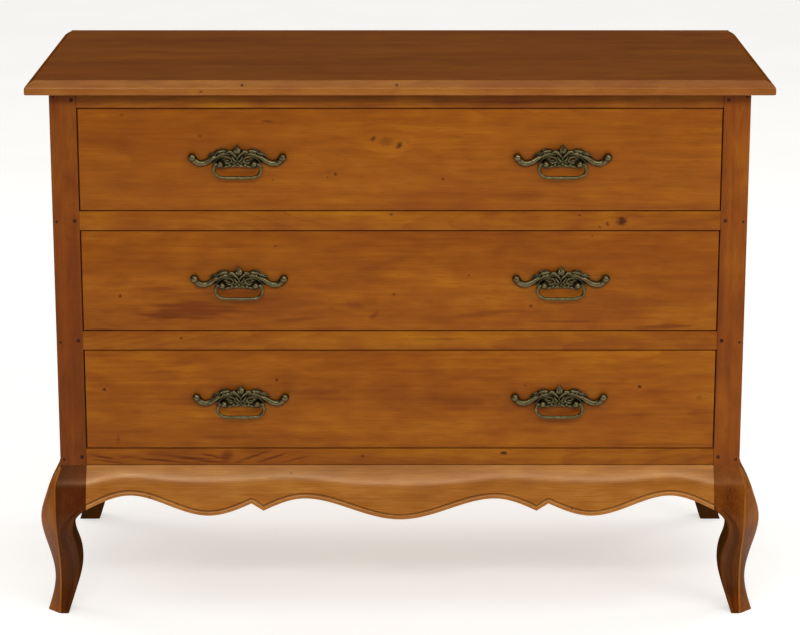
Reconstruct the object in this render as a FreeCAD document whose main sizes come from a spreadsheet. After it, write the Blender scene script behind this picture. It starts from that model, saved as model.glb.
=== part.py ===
import FreeCAD, Part
import Sketcher
import os
import re
from FreeCAD import Placement, Rotation, Vector

# A three-drawer chest on cabriole legs, in millimetres.
#
# The chest stands on Z = 0, centred on X = Y = 0, and its front faces -Y. A case of posts, rails, side
# panels and a back panel stands on a base of four legs and aprons, under a moulded top. Three equal
# drawers slide out towards -Y, and each carries two brass pulls with a hanging bail.

SIZES = {
    # Case and the levels of its front
    "case_width": 1036,
    "case_depth": 436,
    "post_size": 40,
    "base_height": 231,
    "bottom_rail_height": 26,
    "mid_rail_height": 29,
    "top_rail_height": 24,
    "drawer_opening": 156,
    "rail_depth": 60,
    "face_setback": 1,
    # Joints of the case
    "tenon_length": 14,
    "tenon_shoulder": 6,
    "tenon_setback": 10,
    "tenon_thickness": 24,
    "peg_diameter": 6,
    "peg_length": 24,
    "dowel_diameter": 10,
    "dowel_length": 60,
    # Top and its moulded edge
    "top_thickness": 21,
    "side_overhang": 32,
    "front_overhang": 32,
    "mould_reach": 13,
    "mould_drop": 9,
    "nose_round": 3,
    # Sides and back
    "side_setback": 2,
    "side_rail_thickness": 20,
    "side_rail_height": 60,
    "side_tenon_thickness": 8,
    "side_tenon_shoulder": 10,
    "side_panel_thickness": 8,
    "side_groove": 8,
    "rear_rail_thickness": 20,
    "rear_rail_height": 50,
    "rear_tenon_thickness": 10,
    "back_panel_thickness": 6,
    "back_rebate": 8,
    # Screws of the top and the back
    "screw_length": 25,
    "screw_diameter": 4,
    "screw_head_diameter": 8,
    "screw_head_height": 3,
    "screw_bite": 13,
    "screw_access": 10,
    "top_screw_spacing": 300,
    "back_screw_inner": 150,
    "back_screw_outer": 420,
    # Drawer runners, guides and stops
    "runner_width": 44,
    "runner_housing": 8,
    "runner_tenon_length": 10,
    "runner_tenon_width": 24,
    "guide_height": 20,
    "stop_height": 6,
    "stop_depth": 16,
    "stop_width": 40,
    "stop_spacing": 400,
    "stop_clearance": 0.3,
    # Drawers
    "drawer_gap": 1.5,
    "slide_clearance": 0.3,
    "front_thickness": 22,
    "drawer_length": 389,
    "drawer_side_thickness": 12,
    "drawer_side_height": 140,
    "tail_length": 16,
    "tail_tip_height": 30,
    "tail_root_height": 22,
    "drawer_back_thickness": 12,
    "drawer_back_setback": 8,
    "drawer_back_drop": 10,
    "drawer_bottom_thickness": 6,
    "drawer_bottom_rise": 12,
    "drawer_groove": 6,
    # Legs: each station's drop from the case or height from the floor, its reach beyond the post, and the
    # place of the canted corner's arris
    "haunch_drop": 26,
    "haunch_flare": 16.5,
    "haunch_arris": 8,
    "knee_drop": 76,
    "knee_flare": 31.3,
    "knee_arris": 7,
    "calf_height": 108,
    "calf_flare": 23.5,
    "calf_arris": 5,
    "ankle_height": 56,
    "ankle_flare": 13,
    "ankle_arris": 4,
    "foot_flare": 25,
    "foot_arris": 5,
    # Legs: the inner face, with its depth measured from the post's outer face
    "ear_drop": 63,
    "ear_curve_drop": 75,
    "ear_curve_depth": 26,
    "throat_drop": 90,
    "throat_depth": 19,
    "calf_depth": 24.5,
    "ankle_depth": 25.5,
    "shin_height": 31,
    "shin_depth": 18.5,
    "foot_depth": 8.5,
    # Aprons and the rear rail of the base, with their drops from the case
    "apron_thickness": 22,
    "apron_tenon_thickness": 10,
    "apron_tenon_setback": 6,
    "apron_tenon_drop": 9,
    "apron_tenon_height": 32,
    "end_peak_reach": 64,
    "end_peak_drop": 43,
    "trough_reach": 290,
    "trough_drop": 72,
    "notch_reach": 226,
    "notch_drop": 54,
    "tip_reach": 208,
    "tip_drop": 65,
    "peak_reach": 158,
    "peak_drop": 48,
    "centre_drop": 77,
    "side_peak_reach": 60,
    "side_peak_drop": 45,
    "side_centre_drop": 74,
    "base_rail_height": 63,
    "block_length": 60,
    "block_height": 38,
    # Pulls: posts and bail
    "pull_spacing": 482,
    "pull_drop": 4.6,
    "post_spread": 50,
    "boss_diameter": 10,
    "pivot_reach": 11,
    "bolt_diameter": 5,
    "bolt_tail": 6.5,
    "nut_width": 12,
    "nut_height": 5,
    "bail_diameter": 4,
    "pivot_clearance": 0.05,
    "pin_depth": 6,
    "pin_end_room": 0.5,
    "bail_elbow": 5,
    "bail_drop": 8,
    "bail_bend": 9,
    # Pulls: backplate
    "plate_thickness": 4,
    "plate_hole_diameter": 6,
    "plate_hole_reach": 15,
    "plate_hole_rise": 5.8,
    "arm_diameter": 6,
    "arm_root_reach": 34,
    "arm_root_rise": 8,
    "arm_dip_reach": 55.4,
    "arm_dip": 1.1,
    "ball_diameter": 11,
    "ball_reach": 68.4,
    "ball_rise": 9.8,
    "bud_diameter": 10.6,
    "bud_rise": 22.7,
    "plate_seat": 0.1,
}

doc = FreeCAD.newDocument("ChestOfDrawers")
sheet = doc.addObject("Spreadsheet::Sheet", "Sizes")
for row, (alias, size) in enumerate(SIZES.items(), start=1):
    sheet.set(f"A{row}", alias)
    sheet.set(f"B{row}", str(size))
    sheet.setAlias(f"B{row}", alias)
doc.recompute()

SIZE_NAME = re.compile(r"\b(" + "|".join(SIZES) + r")\b")
pieces = []


# Small tools: expressions, primitives and booleans

def linked(text):
    """The expression with each size's name pointing into the sheet."""
    return SIZE_NAME.sub(r"Sizes.\1", text)


def measure(text):
    """The value of an expression, for shapes that are worked out in code."""
    return float(sheet.evalExpression(linked(text)))


def bind(feature, expressions):
    """Tie the feature's properties to expressions of the sizes."""
    for prop, text in expressions.items():
        feature.setExpression(prop, linked(text))


def bind_place(feature, x, y, z):
    """Tie the feature's place to three expressions."""
    bind(feature, {"Placement.Base.x": x, "Placement.Base.y": y, "Placement.Base.z": z})


def centred(half):
    """A range that reaches as far to each side of the middle."""
    return f"-({half})", half


def beside(sign, near, far):
    """The range between two distances from the middle, on the side that sign gives."""
    return (near, far) if sign > 0 else (f"-({far})", f"-({near})")


def inset(pair, amount):
    """A range with both ends drawn in."""
    return f"{pair[0]} + {amount}", f"{pair[1]} - {amount}"


def middle(pair):
    """The middle of a range."""
    return f"(({pair[0]}) + ({pair[1]})) / 2"


def board(name, x, y, z):
    """A square-edged board that fills a range along each axis."""
    blank = doc.addObject("Part::Box", name)
    for prop, pair in (("Length", x), ("Width", y), ("Height", z)):
        bind(blank, {prop: f"({pair[1]}) - ({pair[0]})"})
    bind_place(blank, x[0], y[0], z[0])
    return blank


def rod(name, diameter, length, foot, axis):
    """A round rod from its foot along an axis."""
    pin = doc.addObject("Part::Cylinder", name)
    pin.Placement = Placement(Vector(), Rotation(Vector(0, 0, 1), axis))
    bind(pin, {"Radius": f"({diameter}) / 2", "Height": length})
    bind_place(pin, *foot)
    return pin


def ball(name, diameter, x, y, z, turn=0):
    """A round ball about its centre, with its seam turned clear of what joins it."""
    sphere = doc.addObject("Part::Sphere", name)
    sphere.Placement = Placement(Vector(), Rotation(Vector(0, 0, 1), turn))
    bind(sphere, {"Radius": f"({diameter}) / 2"})
    bind_place(sphere, x, y, z)
    return sphere


def solid(name, shape, place=Placement()):
    """A piece of free shape, made in its own frame and then put in its place."""
    feature = doc.addObject("Part::Feature", name)
    feature.Shape = shape
    feature.Placement = place
    return feature


def join(name, *shapes):
    """Several shapes as one solid."""
    fused = doc.addObject("Part::MultiFuse", name)
    fused.Shapes = list(shapes)
    return fused


def cut(base, *tools):
    """The base with its mortises, grooves and holes: every tool's shape is taken out of it."""
    result = doc.addObject("Part::Cut", f"{base.Name}_cut")
    result.Base = base
    result.Tool = join(f"{base.Name}_tools", *tools) if len(tools) > 1 else tools[0]
    return result


def bundle(name, members):
    """Separate solids kept together as one piece."""
    compound = doc.addObject("Part::Compound", name)
    compound.Links = list(members)
    return compound


def placed_copy(name, source, x="0", z="0"):
    """The same shape in another place."""
    link = doc.addObject("App::Link", name)
    link.LinkedObject = source
    link.LinkTransform = True
    bind_place(link, x, "0", z)
    return link


def piece(label, feature):
    """Hand a finished piece in under its own name."""
    feature.Label = label
    pieces.append(feature)
    return feature


def curve(points):
    """One smooth edge through the points."""
    spline = Part.BSplineCurve()
    spline.interpolate(points)
    return spline.toShape()


def line(start, end):
    """One straight edge."""
    return Part.makeLine(start, end)


def flat_face(edges):
    """The flat face inside a closed run of edges."""
    return Part.Face(Part.Wire(edges))


# Planes and levels that many pieces share

SIDES = (("left", -1), ("right", 1))
ENDS = (("front", -1), ("rear", 1))
HALF_WIDTH = "(case_width / 2)"
HALF_DEPTH = "(case_depth / 2)"
POST_X = f"({HALF_WIDTH} - post_size)"
POST_Y = f"({HALF_DEPTH} - post_size)"
FACE = f"(face_setback - {HALF_DEPTH})"
RAIL_BACK = f"({FACE} + rail_depth)"
SIDE_OUT = f"({HALF_WIDTH} - side_setback)"
SIDE_IN = f"({SIDE_OUT} - side_rail_thickness)"
SIDE_CORE = f"({HALF_WIDTH} - side_setback - side_rail_thickness / 2)"
REAR_OUT = f"({HALF_DEPTH} - back_panel_thickness)"
REAR_IN = f"({REAR_OUT} - rear_rail_thickness)"
REAR_CORE = f"({REAR_OUT} - rear_rail_thickness / 2)"
TENON_MID_X = f"({POST_X} + tenon_length / 2)"
TENON_MID_Y = f"({POST_Y} + tenon_length / 2)"
POST_MID_X = f"({HALF_WIDTH} - post_size / 2)"
POST_MID_Y = f"({HALF_DEPTH} - post_size / 2)"

front_levels = {}
level = "base_height"
for label, height in (
    ("front_bottom_rail", "bottom_rail_height"),
    ("lower_drawer_rail", "mid_rail_height"),
    ("upper_drawer_rail", "mid_rail_height"),
    ("front_top_rail", "top_rail_height"),
):
    front_levels[label] = (f"({level})", f"({level} + {height})")
    level = f"{level} + {height} + drawer_opening"
CASE_TOP = front_levels["front_top_rail"][1]
DRAWER_FLOORS = {
    "bottom": front_levels["front_bottom_rail"][1],
    "middle": front_levels["lower_drawer_rail"][1],
    "top": front_levels["upper_drawer_rail"][1],
}


# Pegs, dowels and screws, which other pieces are bored for

front_pegs = {side: [] for side, sign in SIDES}
side_pegs = {}
leg_dowels = {}
SIDE_RAIL_LEVELS = {
    "bottom": ("base_height", "(base_height + side_rail_height)"),
    "top": (f"({CASE_TOP} - side_rail_height)", CASE_TOP),
}
for side, sign in SIDES:
    for label, pair in front_levels.items():
        foot = (f"{sign} * {TENON_MID_X}", f"-{HALF_DEPTH}", middle(pair))
        peg = rod(f"{side}_{label}_peg", "peg_diameter", "peg_length", foot, Vector(0, 1, 0))
        front_pegs[side].append(peg)
    for end, way in ENDS:
        side_pegs[end, side] = []
        for name, pair in SIDE_RAIL_LEVELS.items():
            foot = (f"{sign} * {HALF_WIDTH}", f"{way} * {TENON_MID_Y}", middle(pair))
            peg = rod(f"{end}_{side}_{name}_peg", "peg_diameter", "peg_length", foot, Vector(-sign, 0, 0))
            side_pegs[end, side].append(peg)
        foot = (f"{sign} * {POST_MID_X}", f"{way} * {POST_MID_Y}", "base_height - dowel_length / 2")
        dowel = rod(f"{end}_{side}_dowel", "dowel_diameter", "dowel_length", foot, Vector(0, 0, 1))
        leg_dowels[end, side] = dowel


def screw(name, foot, axis):
    """A flat-headed wood screw whose head starts at the foot."""
    head = rod(f"{name}_head", "screw_head_diameter", "screw_head_height", foot, axis)
    shank = rod(f"{name}_shank", "screw_diameter", "screw_length", foot, axis)
    return join(name, head, shank)


SCREW_FOOT = f"({CASE_TOP} - screw_length + screw_bite)"
TOP_SCREW_PLACES = ("-top_screw_spacing", "0", "top_screw_spacing")
BACK_SCREW_PLACES = ("-back_screw_outer", "-back_screw_inner", "back_screw_inner", "back_screw_outer")
REAR_RAIL_LEVELS = {
    "bottom": ("base_height", "(base_height + rear_rail_height)"),
    "top": (f"({CASE_TOP} - rear_rail_height)", CASE_TOP),
}
front_top_screws = []
rear_top_screws = []
for x in TOP_SCREW_PLACES:
    front_foot = (x, f"({FACE} + {RAIL_BACK}) / 2", SCREW_FOOT)
    rear_foot = (x, REAR_CORE, SCREW_FOOT)
    front_top_screws.append(screw("front_top_screw", front_foot, Vector(0, 0, 1)))
    rear_top_screws.append(screw("rear_top_screw", rear_foot, Vector(0, 0, 1)))
back_screws = {}
for name, pair in REAR_RAIL_LEVELS.items():
    back_screws[name] = []
    for x in BACK_SCREW_PLACES:
        back_screws[name].append(screw("back_screw", (x, HALF_DEPTH, middle(pair)), Vector(0, -1, 0)))


def access_bores(name, low, y):
    """The wide bores under the top's screws, up to their heads."""
    bores = []
    for x in TOP_SCREW_PLACES:
        bores.append(rod(name, "screw_access", f"{SCREW_FOOT} - {low}", (x, y, low), Vector(0, 0, 1)))
    return bores


# Drawer runners with their guides, and the stops on the front rails

runners = {side: [] for side, sign in SIDES}
guides = []
for side, sign in SIDES:
    across = beside(sign, f"({SIDE_IN} - runner_width)", SIDE_IN)
    stub_near = f"({SIDE_IN} - runner_width / 2 - runner_tenon_width / 2)"
    stub_far = f"({SIDE_IN} - runner_width / 2 + runner_tenon_width / 2)"
    stub_across = beside(sign, stub_near, stub_far)
    for label, pair in front_levels.items():
        name = f"{side}_{label}_runner"
        bar = board(f"{name}_bar", across, (RAIL_BACK, f"({POST_Y} + runner_housing)"), pair)
        stub_along = (f"({RAIL_BACK} - runner_tenon_length)", RAIL_BACK)
        stub = board(f"{name}_stub", stub_across, stub_along, inset(pair, "tenon_shoulder"))
        runners[side].append(join(name, bar, stub))
    for drawer, floor in DRAWER_FLOORS.items():
        guide_rise = (floor, f"({floor} + guide_height)")
        guide_across = beside(sign, POST_X, SIDE_IN)
        guides.append(board(f"{drawer}_{side}_guide", guide_across, centred(POST_Y), guide_rise))

stops = []
STOP_FRONT = f"({FACE} + front_thickness + stop_clearance)"
for drawer, floor in DRAWER_FLOORS.items():
    for side, sign in SIDES:
        near = "(stop_spacing / 2 - stop_width / 2)"
        far = "(stop_spacing / 2 + stop_width / 2)"
        along = (STOP_FRONT, f"({STOP_FRONT} + stop_depth)")
        rise = (floor, f"({floor} + stop_height)")
        stops.append(board(f"{drawer}_{side}_stop", beside(sign, near, far), along, rise))

piece("drawer_runners", bundle("drawer_runners", runners["left"] + runners["right"]))
piece("drawer_guides", bundle("drawer_guides", guides))
piece("drawer_stops", bundle("drawer_stops", stops))
all_pegs = front_pegs["left"] + front_pegs["right"]
for corner_pegs in side_pegs.values():
    all_pegs += corner_pegs
piece("tenon_pegs", bundle("tenon_pegs", all_pegs))
piece("leg_dowels", bundle("leg_dowels", leg_dowels.values()))
all_screws = front_top_screws + rear_top_screws + back_screws["bottom"] + back_screws["top"]
piece("case_screws", bundle("case_screws", all_screws))


# Front rails, side rails and panels, rear rails and back panel

def rail(name, body, tongue):
    """A rail whose tongue runs on past both ends as its tenons."""
    return join(f"{name}_blank", board(f"{name}_body", *body), board(f"{name}_tongue", *tongue))


front_rails = []
for index, (label, pair) in enumerate(front_levels.items()):
    tongue_along = (f"({FACE} + tenon_setback)", f"({FACE} + tenon_setback + tenon_thickness)")
    tongue = (centred(f"({POST_X} + tenon_length)"), tongue_along, inset(pair, "tenon_shoulder"))
    blank = rail(label, (centred(POST_X), (FACE, RAIL_BACK), pair), tongue)
    bores = [mates[side][index] for mates in (front_pegs, runners) for side, sign in SIDES]
    if label == "front_top_rail":
        bores += front_top_screws
        bores += access_bores("front_access", pair[0], f"({FACE} + {RAIL_BACK}) / 2")
    front_rails.append(piece(label, cut(blank, *bores)))

side_rails = {}
side_panels = {}
for side, sign in SIDES:
    panel_across = beside(
        sign, f"({SIDE_CORE} - side_panel_thickness / 2)", f"({SIDE_CORE} + side_panel_thickness / 2)"
    )
    panel_rise = (
        f"({SIDE_RAIL_LEVELS['bottom'][1]} - side_groove)",
        f"({SIDE_RAIL_LEVELS['top'][0]} + side_groove)",
    )
    panel = board(f"{side}_panel", panel_across, centred(f"({POST_Y} + side_groove)"), panel_rise)
    side_panels[side] = piece(f"{side}_side_panel", panel)
    tongue_across = beside(
        sign, f"({SIDE_CORE} - side_tenon_thickness / 2)", f"({SIDE_CORE} + side_tenon_thickness / 2)"
    )
    side_rails[side] = []
    for name, pair in SIDE_RAIL_LEVELS.items():
        tongue = (tongue_across, centred(f"({POST_Y} + tenon_length)"), inset(pair, "side_tenon_shoulder"))
        blank = rail(f"{side}_{name}", (beside(sign, SIDE_IN, SIDE_OUT), centred(POST_Y), pair), tongue)
        finished = cut(blank, panel, *side_pegs["front", side], *side_pegs["rear", side])
        side_rails[side].append(piece(f"{side}_side_{name}_rail", finished))

back_rise = ("base_height", CASE_TOP)
back_blank = board("back_blank", centred(f"({POST_X} + back_rebate)"), (REAR_OUT, HALF_DEPTH), back_rise)
back_panel = piece("back_panel", cut(back_blank, *back_screws["bottom"], *back_screws["top"]))
rear_rails = []
for name, pair in REAR_RAIL_LEVELS.items():
    tongue_along = (f"({REAR_CORE} - rear_tenon_thickness / 2)", f"({REAR_CORE} + rear_tenon_thickness / 2)")
    tongue = (centred(f"({POST_X} + tenon_length)"), tongue_along, inset(pair, "tenon_shoulder"))
    blank = rail(f"rear_{name}", (centred(POST_X), (REAR_IN, REAR_OUT), pair), tongue)
    bores = list(back_screws[name])
    if name == "top":
        bores += rear_top_screws
        bores += access_bores("rear_access", pair[0], REAR_CORE)
    rear_rails.append(piece(f"rear_{name}_rail", cut(blank, *bores)))


# Corner posts, mortised for everything that enters them

for side, sign in SIDES:
    for end, way in ENDS:
        across = beside(sign, POST_X, HALF_WIDTH)
        along = beside(way, POST_Y, HALF_DEPTH)
        blank = board(f"{end}_{side}_blank", across, along, ("base_height", CASE_TOP))
        mates = [side_panels[side], leg_dowels[end, side], *side_rails[side], *side_pegs[end, side]]
        if end == "front":
            mates += front_rails + front_pegs[side]
        else:
            mates += rear_rails + [back_panel] + runners[side]
        piece(f"{end}_{side}_post", cut(blank, *mates))


# Top with a moulded edge on the front and both sides

def edges_at(shape, height, half_width, front):
    """Names of the edges at one height along the front and the two ends."""
    names = []
    for index, edge in enumerate(shape.Edges, start=1):
        spot = edge.CenterOfMass
        level_edge = abs(edge.BoundBox.ZMax - height) < 0.01 and edge.BoundBox.ZLength < 0.01
        at_end = abs(abs(spot.x) - half_width) < 0.01
        at_front = abs(spot.y + front) < 0.01
        if level_edge and (at_end or at_front):
            names.append(f"Edge{index}")
    return names


top = doc.addObject("PartDesign::Body", "TopBody")
floor_plane = next(plane for plane in top.Origin.OriginFeatures if plane.Role == "XY_Plane")
top_outline = top.newObject("Sketcher::SketchObject", "TopOutline")
top_outline.AttachmentSupport = [(floor_plane, "")]
top_outline.MapMode = "FlatFace"
TOP_HALF_WIDTH = f"({HALF_WIDTH} + side_overhang)"
TOP_HALF_DEPTH = f"({HALF_DEPTH} + front_overhang)"
half_width = measure(TOP_HALF_WIDTH)
half_depth = measure(TOP_HALF_DEPTH)
corners = [
    Vector(-half_width, -half_depth, 0),
    Vector(half_width, -half_depth, 0),
    Vector(half_width, half_depth, 0),
    Vector(-half_width, half_depth, 0),
]
for index, corner in enumerate(corners):
    top_outline.addGeometry(Part.LineSegment(corner, corners[(index + 1) % 4]))
for index in range(4):
    top_outline.addConstraint(Sketcher.Constraint("Coincident", index, 2, (index + 1) % 4, 1))
    top_outline.addConstraint(Sketcher.Constraint(("Horizontal", "Vertical")[index % 2], index))
top_outline.addConstraint(Sketcher.Constraint("Symmetric", 0, 1, 2, 1, -1, 1))
top_outline.addConstraint(Sketcher.Constraint("DistanceX", 0, 1, 0, 2, 2 * half_width))
top_outline.renameConstraint(top_outline.ConstraintCount - 1, "width")
top_outline.addConstraint(Sketcher.Constraint("DistanceY", 1, 1, 1, 2, 2 * half_depth))
top_outline.renameConstraint(top_outline.ConstraintCount - 1, "depth")
bind(top_outline, {
    "Constraints.width": f"2 * {TOP_HALF_WIDTH}",
    "Constraints.depth": f"2 * {TOP_HALF_DEPTH}",
})
slab = top.newObject("PartDesign::Pad", "TopSlab")
slab.Profile = top_outline
bind(slab, {"Length": "top_thickness"})
doc.recompute()
slope = top.newObject("PartDesign::Chamfer", "TopSlope")
slope.Base = (slab, edges_at(slab.Shape, measure("top_thickness"), half_width, half_depth))
slope.ChamferType = "Two distances"
bind(slope, {"Size": "mould_drop", "Size2": "mould_reach"})
doc.recompute()
nose = top.newObject("PartDesign::Fillet", "TopNose")
nose_edges = edges_at(slope.Shape, measure("top_thickness - mould_drop"), half_width, half_depth)
under_edges = edges_at(slope.Shape, 0, half_width, half_depth)
nose.Base = (slope, nose_edges + under_edges)
bind(nose, {"Radius": "nose_round"})
bind_place(top, "0", "0", CASE_TOP)
doc.recompute()
piece("top_panel", cut(top, *front_top_screws, *rear_top_screws))


# Legs: a cabriole curve sawn from two faces, with the outer corner canted

OUTER_STATIONS = (
    ("base_height", "0", "0"),
    ("base_height - haunch_drop", "haunch_flare", "haunch_arris"),
    ("base_height - knee_drop", "knee_flare", "knee_arris"),
    ("calf_height", "calf_flare", "calf_arris"),
    ("ankle_height", "ankle_flare", "ankle_arris"),
    ("0", "foot_flare", "foot_arris"),
)
INNER_STATIONS = (
    ("0", "foot_depth"),
    ("shin_height", "shin_depth"),
    ("ankle_height", "ankle_depth"),
    ("calf_height", "calf_depth"),
    ("base_height - throat_drop", "throat_depth"),
    ("base_height - ear_curve_drop", "ear_curve_depth"),
    ("base_height - ear_drop", "post_size"),
)


def outer_points(outward):
    """The swelled face from the seam to the floor, with outward as its direction."""
    points = []
    for height, flare, arris in OUTER_STATIONS:
        points.append(outward * measure(flare) + Vector(0, 0, measure(height)))
    return points


def leg_face(outward):
    """The leg's outline as sawn from one face, in the plane of outward and up."""
    outer = outer_points(outward)
    inner = [outward * -measure(depth) + Vector(0, 0, measure(height)) for height, depth in INNER_STATIONS]
    shoulder = outward * -measure("post_size") + Vector(0, 0, measure("base_height"))
    return flat_face([
        curve(outer),
        line(outer[-1], inner[0]),
        curve(inner),
        line(inner[-1], shoulder),
        line(shoulder, outer[0]),
    ])


def leg_shape():
    """One leg about the vertical line through its post's outer corner, flaring to +X and +Y."""
    reach = measure("post_size + knee_flare") * 2
    along_x = Vector(1, 0, 0)
    along_y = Vector(0, 1, 0)
    diagonal = (along_x + along_y).normalize()
    across = (along_x - along_y).normalize()
    from_front = leg_face(along_x).translated(along_y * -reach).extrude(along_y * 2 * reach)
    from_side = leg_face(along_y).translated(along_x * -reach).extrude(along_x * 2 * reach)
    cant = []
    for height, flare, arris in OUTER_STATIONS:
        cant.append(diagonal * (measure(f"{flare} + {arris}") / 2 ** 0.5) + Vector(0, 0, measure(height)))
    behind = diagonal * -reach
    low = behind
    high = behind + Vector(0, 0, measure("base_height"))
    cant_face = flat_face([curve(cant), line(cant[-1], low), line(low, high), line(high, cant[0])])
    canted = cant_face.translated(across * -reach).extrude(across * 2 * reach)
    return from_front.common(from_side).common(canted)


LEG_TURNS = {("rear", "right"): 0, ("rear", "left"): 90, ("front", "left"): 180, ("front", "right"): 270}
leg_blank_shape = leg_shape()
leg_blanks = {}
for (end, side), turn in LEG_TURNS.items():
    turned = Placement(Vector(), Rotation(Vector(0, 0, 1), turn))
    blank = solid(f"{end}_{side}_leg_blank", leg_blank_shape, turned)
    sign = -1 if side == "left" else 1
    way = -1 if end == "front" else 1
    bind_place(blank, f"{sign} * {HALF_WIDTH}", f"{way} * {HALF_DEPTH}", "0")
    leg_blanks[end, side] = blank


# Aprons: the legs' swelled face carried along, with a scalloped lower edge

def apron_shape(half_length, lower_runs):
    """An apron along X that swells to +Y, from the smooth runs of its lower edge's right half."""
    back = Vector(0, -measure("apron_thickness"), 0)
    outer = outer_points(Vector(0, 1, 0))
    top_back = back + Vector(0, 0, measure("base_height"))
    section = flat_face([
        curve(outer),
        line(outer[-1], back),
        line(back, top_back),
        line(top_back, outer[0]),
    ])
    swelled = section.translated(Vector(-half_length, 0, 0)).extrude(Vector(2 * half_length, 0, 0))
    top_right = Vector(half_length, 0, measure("base_height"))
    top_left = Vector(-half_length, 0, measure("base_height"))
    right_runs = [[Vector(x, 0, z) for x, z in run] for run in lower_runs]
    left_runs = [[Vector(-spot.x, 0, spot.z) for spot in reversed(run)] for run in reversed(right_runs)]
    runs = right_runs[:-1] + [right_runs[-1] + left_runs[0][1:]] + left_runs[1:]
    edges = [line(top_left, top_right), line(top_right, runs[0][0])]
    edges += [curve(run) for run in runs]
    edges.append(line(runs[-1][-1], top_left))
    reach = measure("apron_thickness + knee_flare") * 2
    scallop = flat_face(edges).translated(Vector(0, -reach, 0)).extrude(Vector(0, 2 * reach, 0))
    return swelled.common(scallop)


def edge_point(x, drop):
    """One point of a lower edge, from its drop below the case."""
    return measure(x), measure(f"base_height - {drop}")


front_runs = (
    (
        edge_point(POST_X, "ear_drop"),
        edge_point(f"{POST_X} - end_peak_reach", "end_peak_drop"),
        edge_point("trough_reach", "trough_drop"),
        edge_point("notch_reach", "notch_drop"),
    ),
    (edge_point("notch_reach", "notch_drop"), edge_point("tip_reach", "tip_drop")),
    (
        edge_point("tip_reach", "tip_drop"),
        edge_point("peak_reach", "peak_drop"),
        edge_point("0", "centre_drop"),
    ),
)
side_runs = (
    (
        edge_point(POST_Y, "ear_drop"),
        edge_point(f"{POST_Y} - side_peak_reach", "side_peak_drop"),
        edge_point("0", "side_centre_drop"),
    ),
)
APRON_TENON_TOP = "(base_height - apron_tenon_drop)"
apron_rise = (f"({APRON_TENON_TOP} - apron_tenon_height)", APRON_TENON_TOP)
APRON_TENON_OUT = "apron_tenon_setback"
APRON_TENON_IN = "(apron_tenon_setback + apron_tenon_thickness)"

front_apron_blank = solid(
    "front_apron_blank",
    apron_shape(measure(POST_X), front_runs),
    Placement(Vector(), Rotation(Vector(0, 0, 1), 180)),
)
bind_place(front_apron_blank, "0", f"-{HALF_DEPTH}", "0")
front_tongue = board(
    "front_apron_tongue",
    centred(f"({POST_X} + tenon_length)"),
    (f"({APRON_TENON_OUT} - {HALF_DEPTH})", f"({APRON_TENON_IN} - {HALF_DEPTH})"),
    apron_rise,
)
front_apron = piece("front_apron", join("front_apron", front_apron_blank, front_tongue))

side_aprons = {}
side_apron_shape = apron_shape(measure(POST_Y), side_runs)
for side, sign in SIDES:
    turned = Placement(Vector(), Rotation(Vector(0, 0, 1), -90 * sign))
    blank = solid(f"{side}_apron_blank", side_apron_shape, turned)
    bind_place(blank, f"{sign} * {HALF_WIDTH}", "0", "0")
    tongue = board(
        f"{side}_apron_tongue",
        beside(sign, f"({HALF_WIDTH} - {APRON_TENON_IN})", f"({HALF_WIDTH} - {APRON_TENON_OUT})"),
        centred(f"({POST_Y} + tenon_length)"),
        apron_rise,
    )
    side_aprons[side] = piece(f"{side}_apron", join(f"{side}_apron", blank, tongue))

base_rear_rail = rail(
    "base_rear_rail",
    (
        centred(POST_X),
        (f"({HALF_DEPTH} - apron_thickness)", HALF_DEPTH),
        ("(base_height - base_rail_height)", "base_height"),
    ),
    (
        centred(f"({POST_X} + tenon_length)"),
        (f"({HALF_DEPTH} - {APRON_TENON_IN})", f"({HALF_DEPTH} - {APRON_TENON_OUT})"),
        apron_rise,
    ),
)
piece("base_rear_rail", base_rear_rail)

for (end, side), blank in leg_blanks.items():
    crossing = front_apron if end == "front" else base_rear_rail
    piece(f"{end}_{side}_leg", cut(blank, leg_dowels[end, side], crossing, side_aprons[side]))

blocks = []
block_rise = ("(base_height - block_height)", "base_height")
for side, sign in SIDES:
    for end, way in ENDS:
        long_across = beside(sign, f"({POST_X} - block_length)", POST_X)
        long_along = beside(way, POST_Y, f"({HALF_DEPTH} - apron_thickness)")
        short_across = beside(sign, POST_X, f"({HALF_WIDTH} - apron_thickness)")
        short_along = beside(way, f"({POST_Y} - block_length)", POST_Y)
        blocks.append(board(f"{end}_{side}_long_block", long_across, long_along, block_rise))
        blocks.append(board(f"{end}_{side}_short_block", short_across, short_along, block_rise))
piece("glue_blocks", bundle("glue_blocks", blocks))


# Pull, about the middle between its two posts on the drawer's face, with -Y outwards

def pull_post(name, sign):
    """A turned post with a blind cross bore for the bail and a bolt through the drawer front."""
    x = f"({sign} * post_spread / 2)"
    inwards = Vector(0, 1, 0)
    neck_length = "pivot_reach - plate_thickness"
    neck = rod(f"{name}_neck", "boss_diameter", neck_length, (x, "-pivot_reach", "0"), inwards)
    tip = ball(f"{name}_tip", "boss_diameter", x, "-pivot_reach", "0")
    bolt_length = "plate_thickness + front_thickness + bolt_tail"
    bolt = rod(f"{name}_bolt", "bolt_diameter", bolt_length, (x, "-plate_thickness", "0"), inwards)
    bore_width = "bail_diameter + 2 * pivot_clearance"
    bore_foot = (f"{x} + {sign} * boss_diameter", "-pivot_reach", "0")
    bore_length = "boss_diameter / 2 + pin_depth + pin_end_room"
    bore = rod(f"{name}_bore", bore_width, bore_length, bore_foot, Vector(-sign, 0, 0))
    return cut(join(name, neck, tip, bolt), bore)


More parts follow.
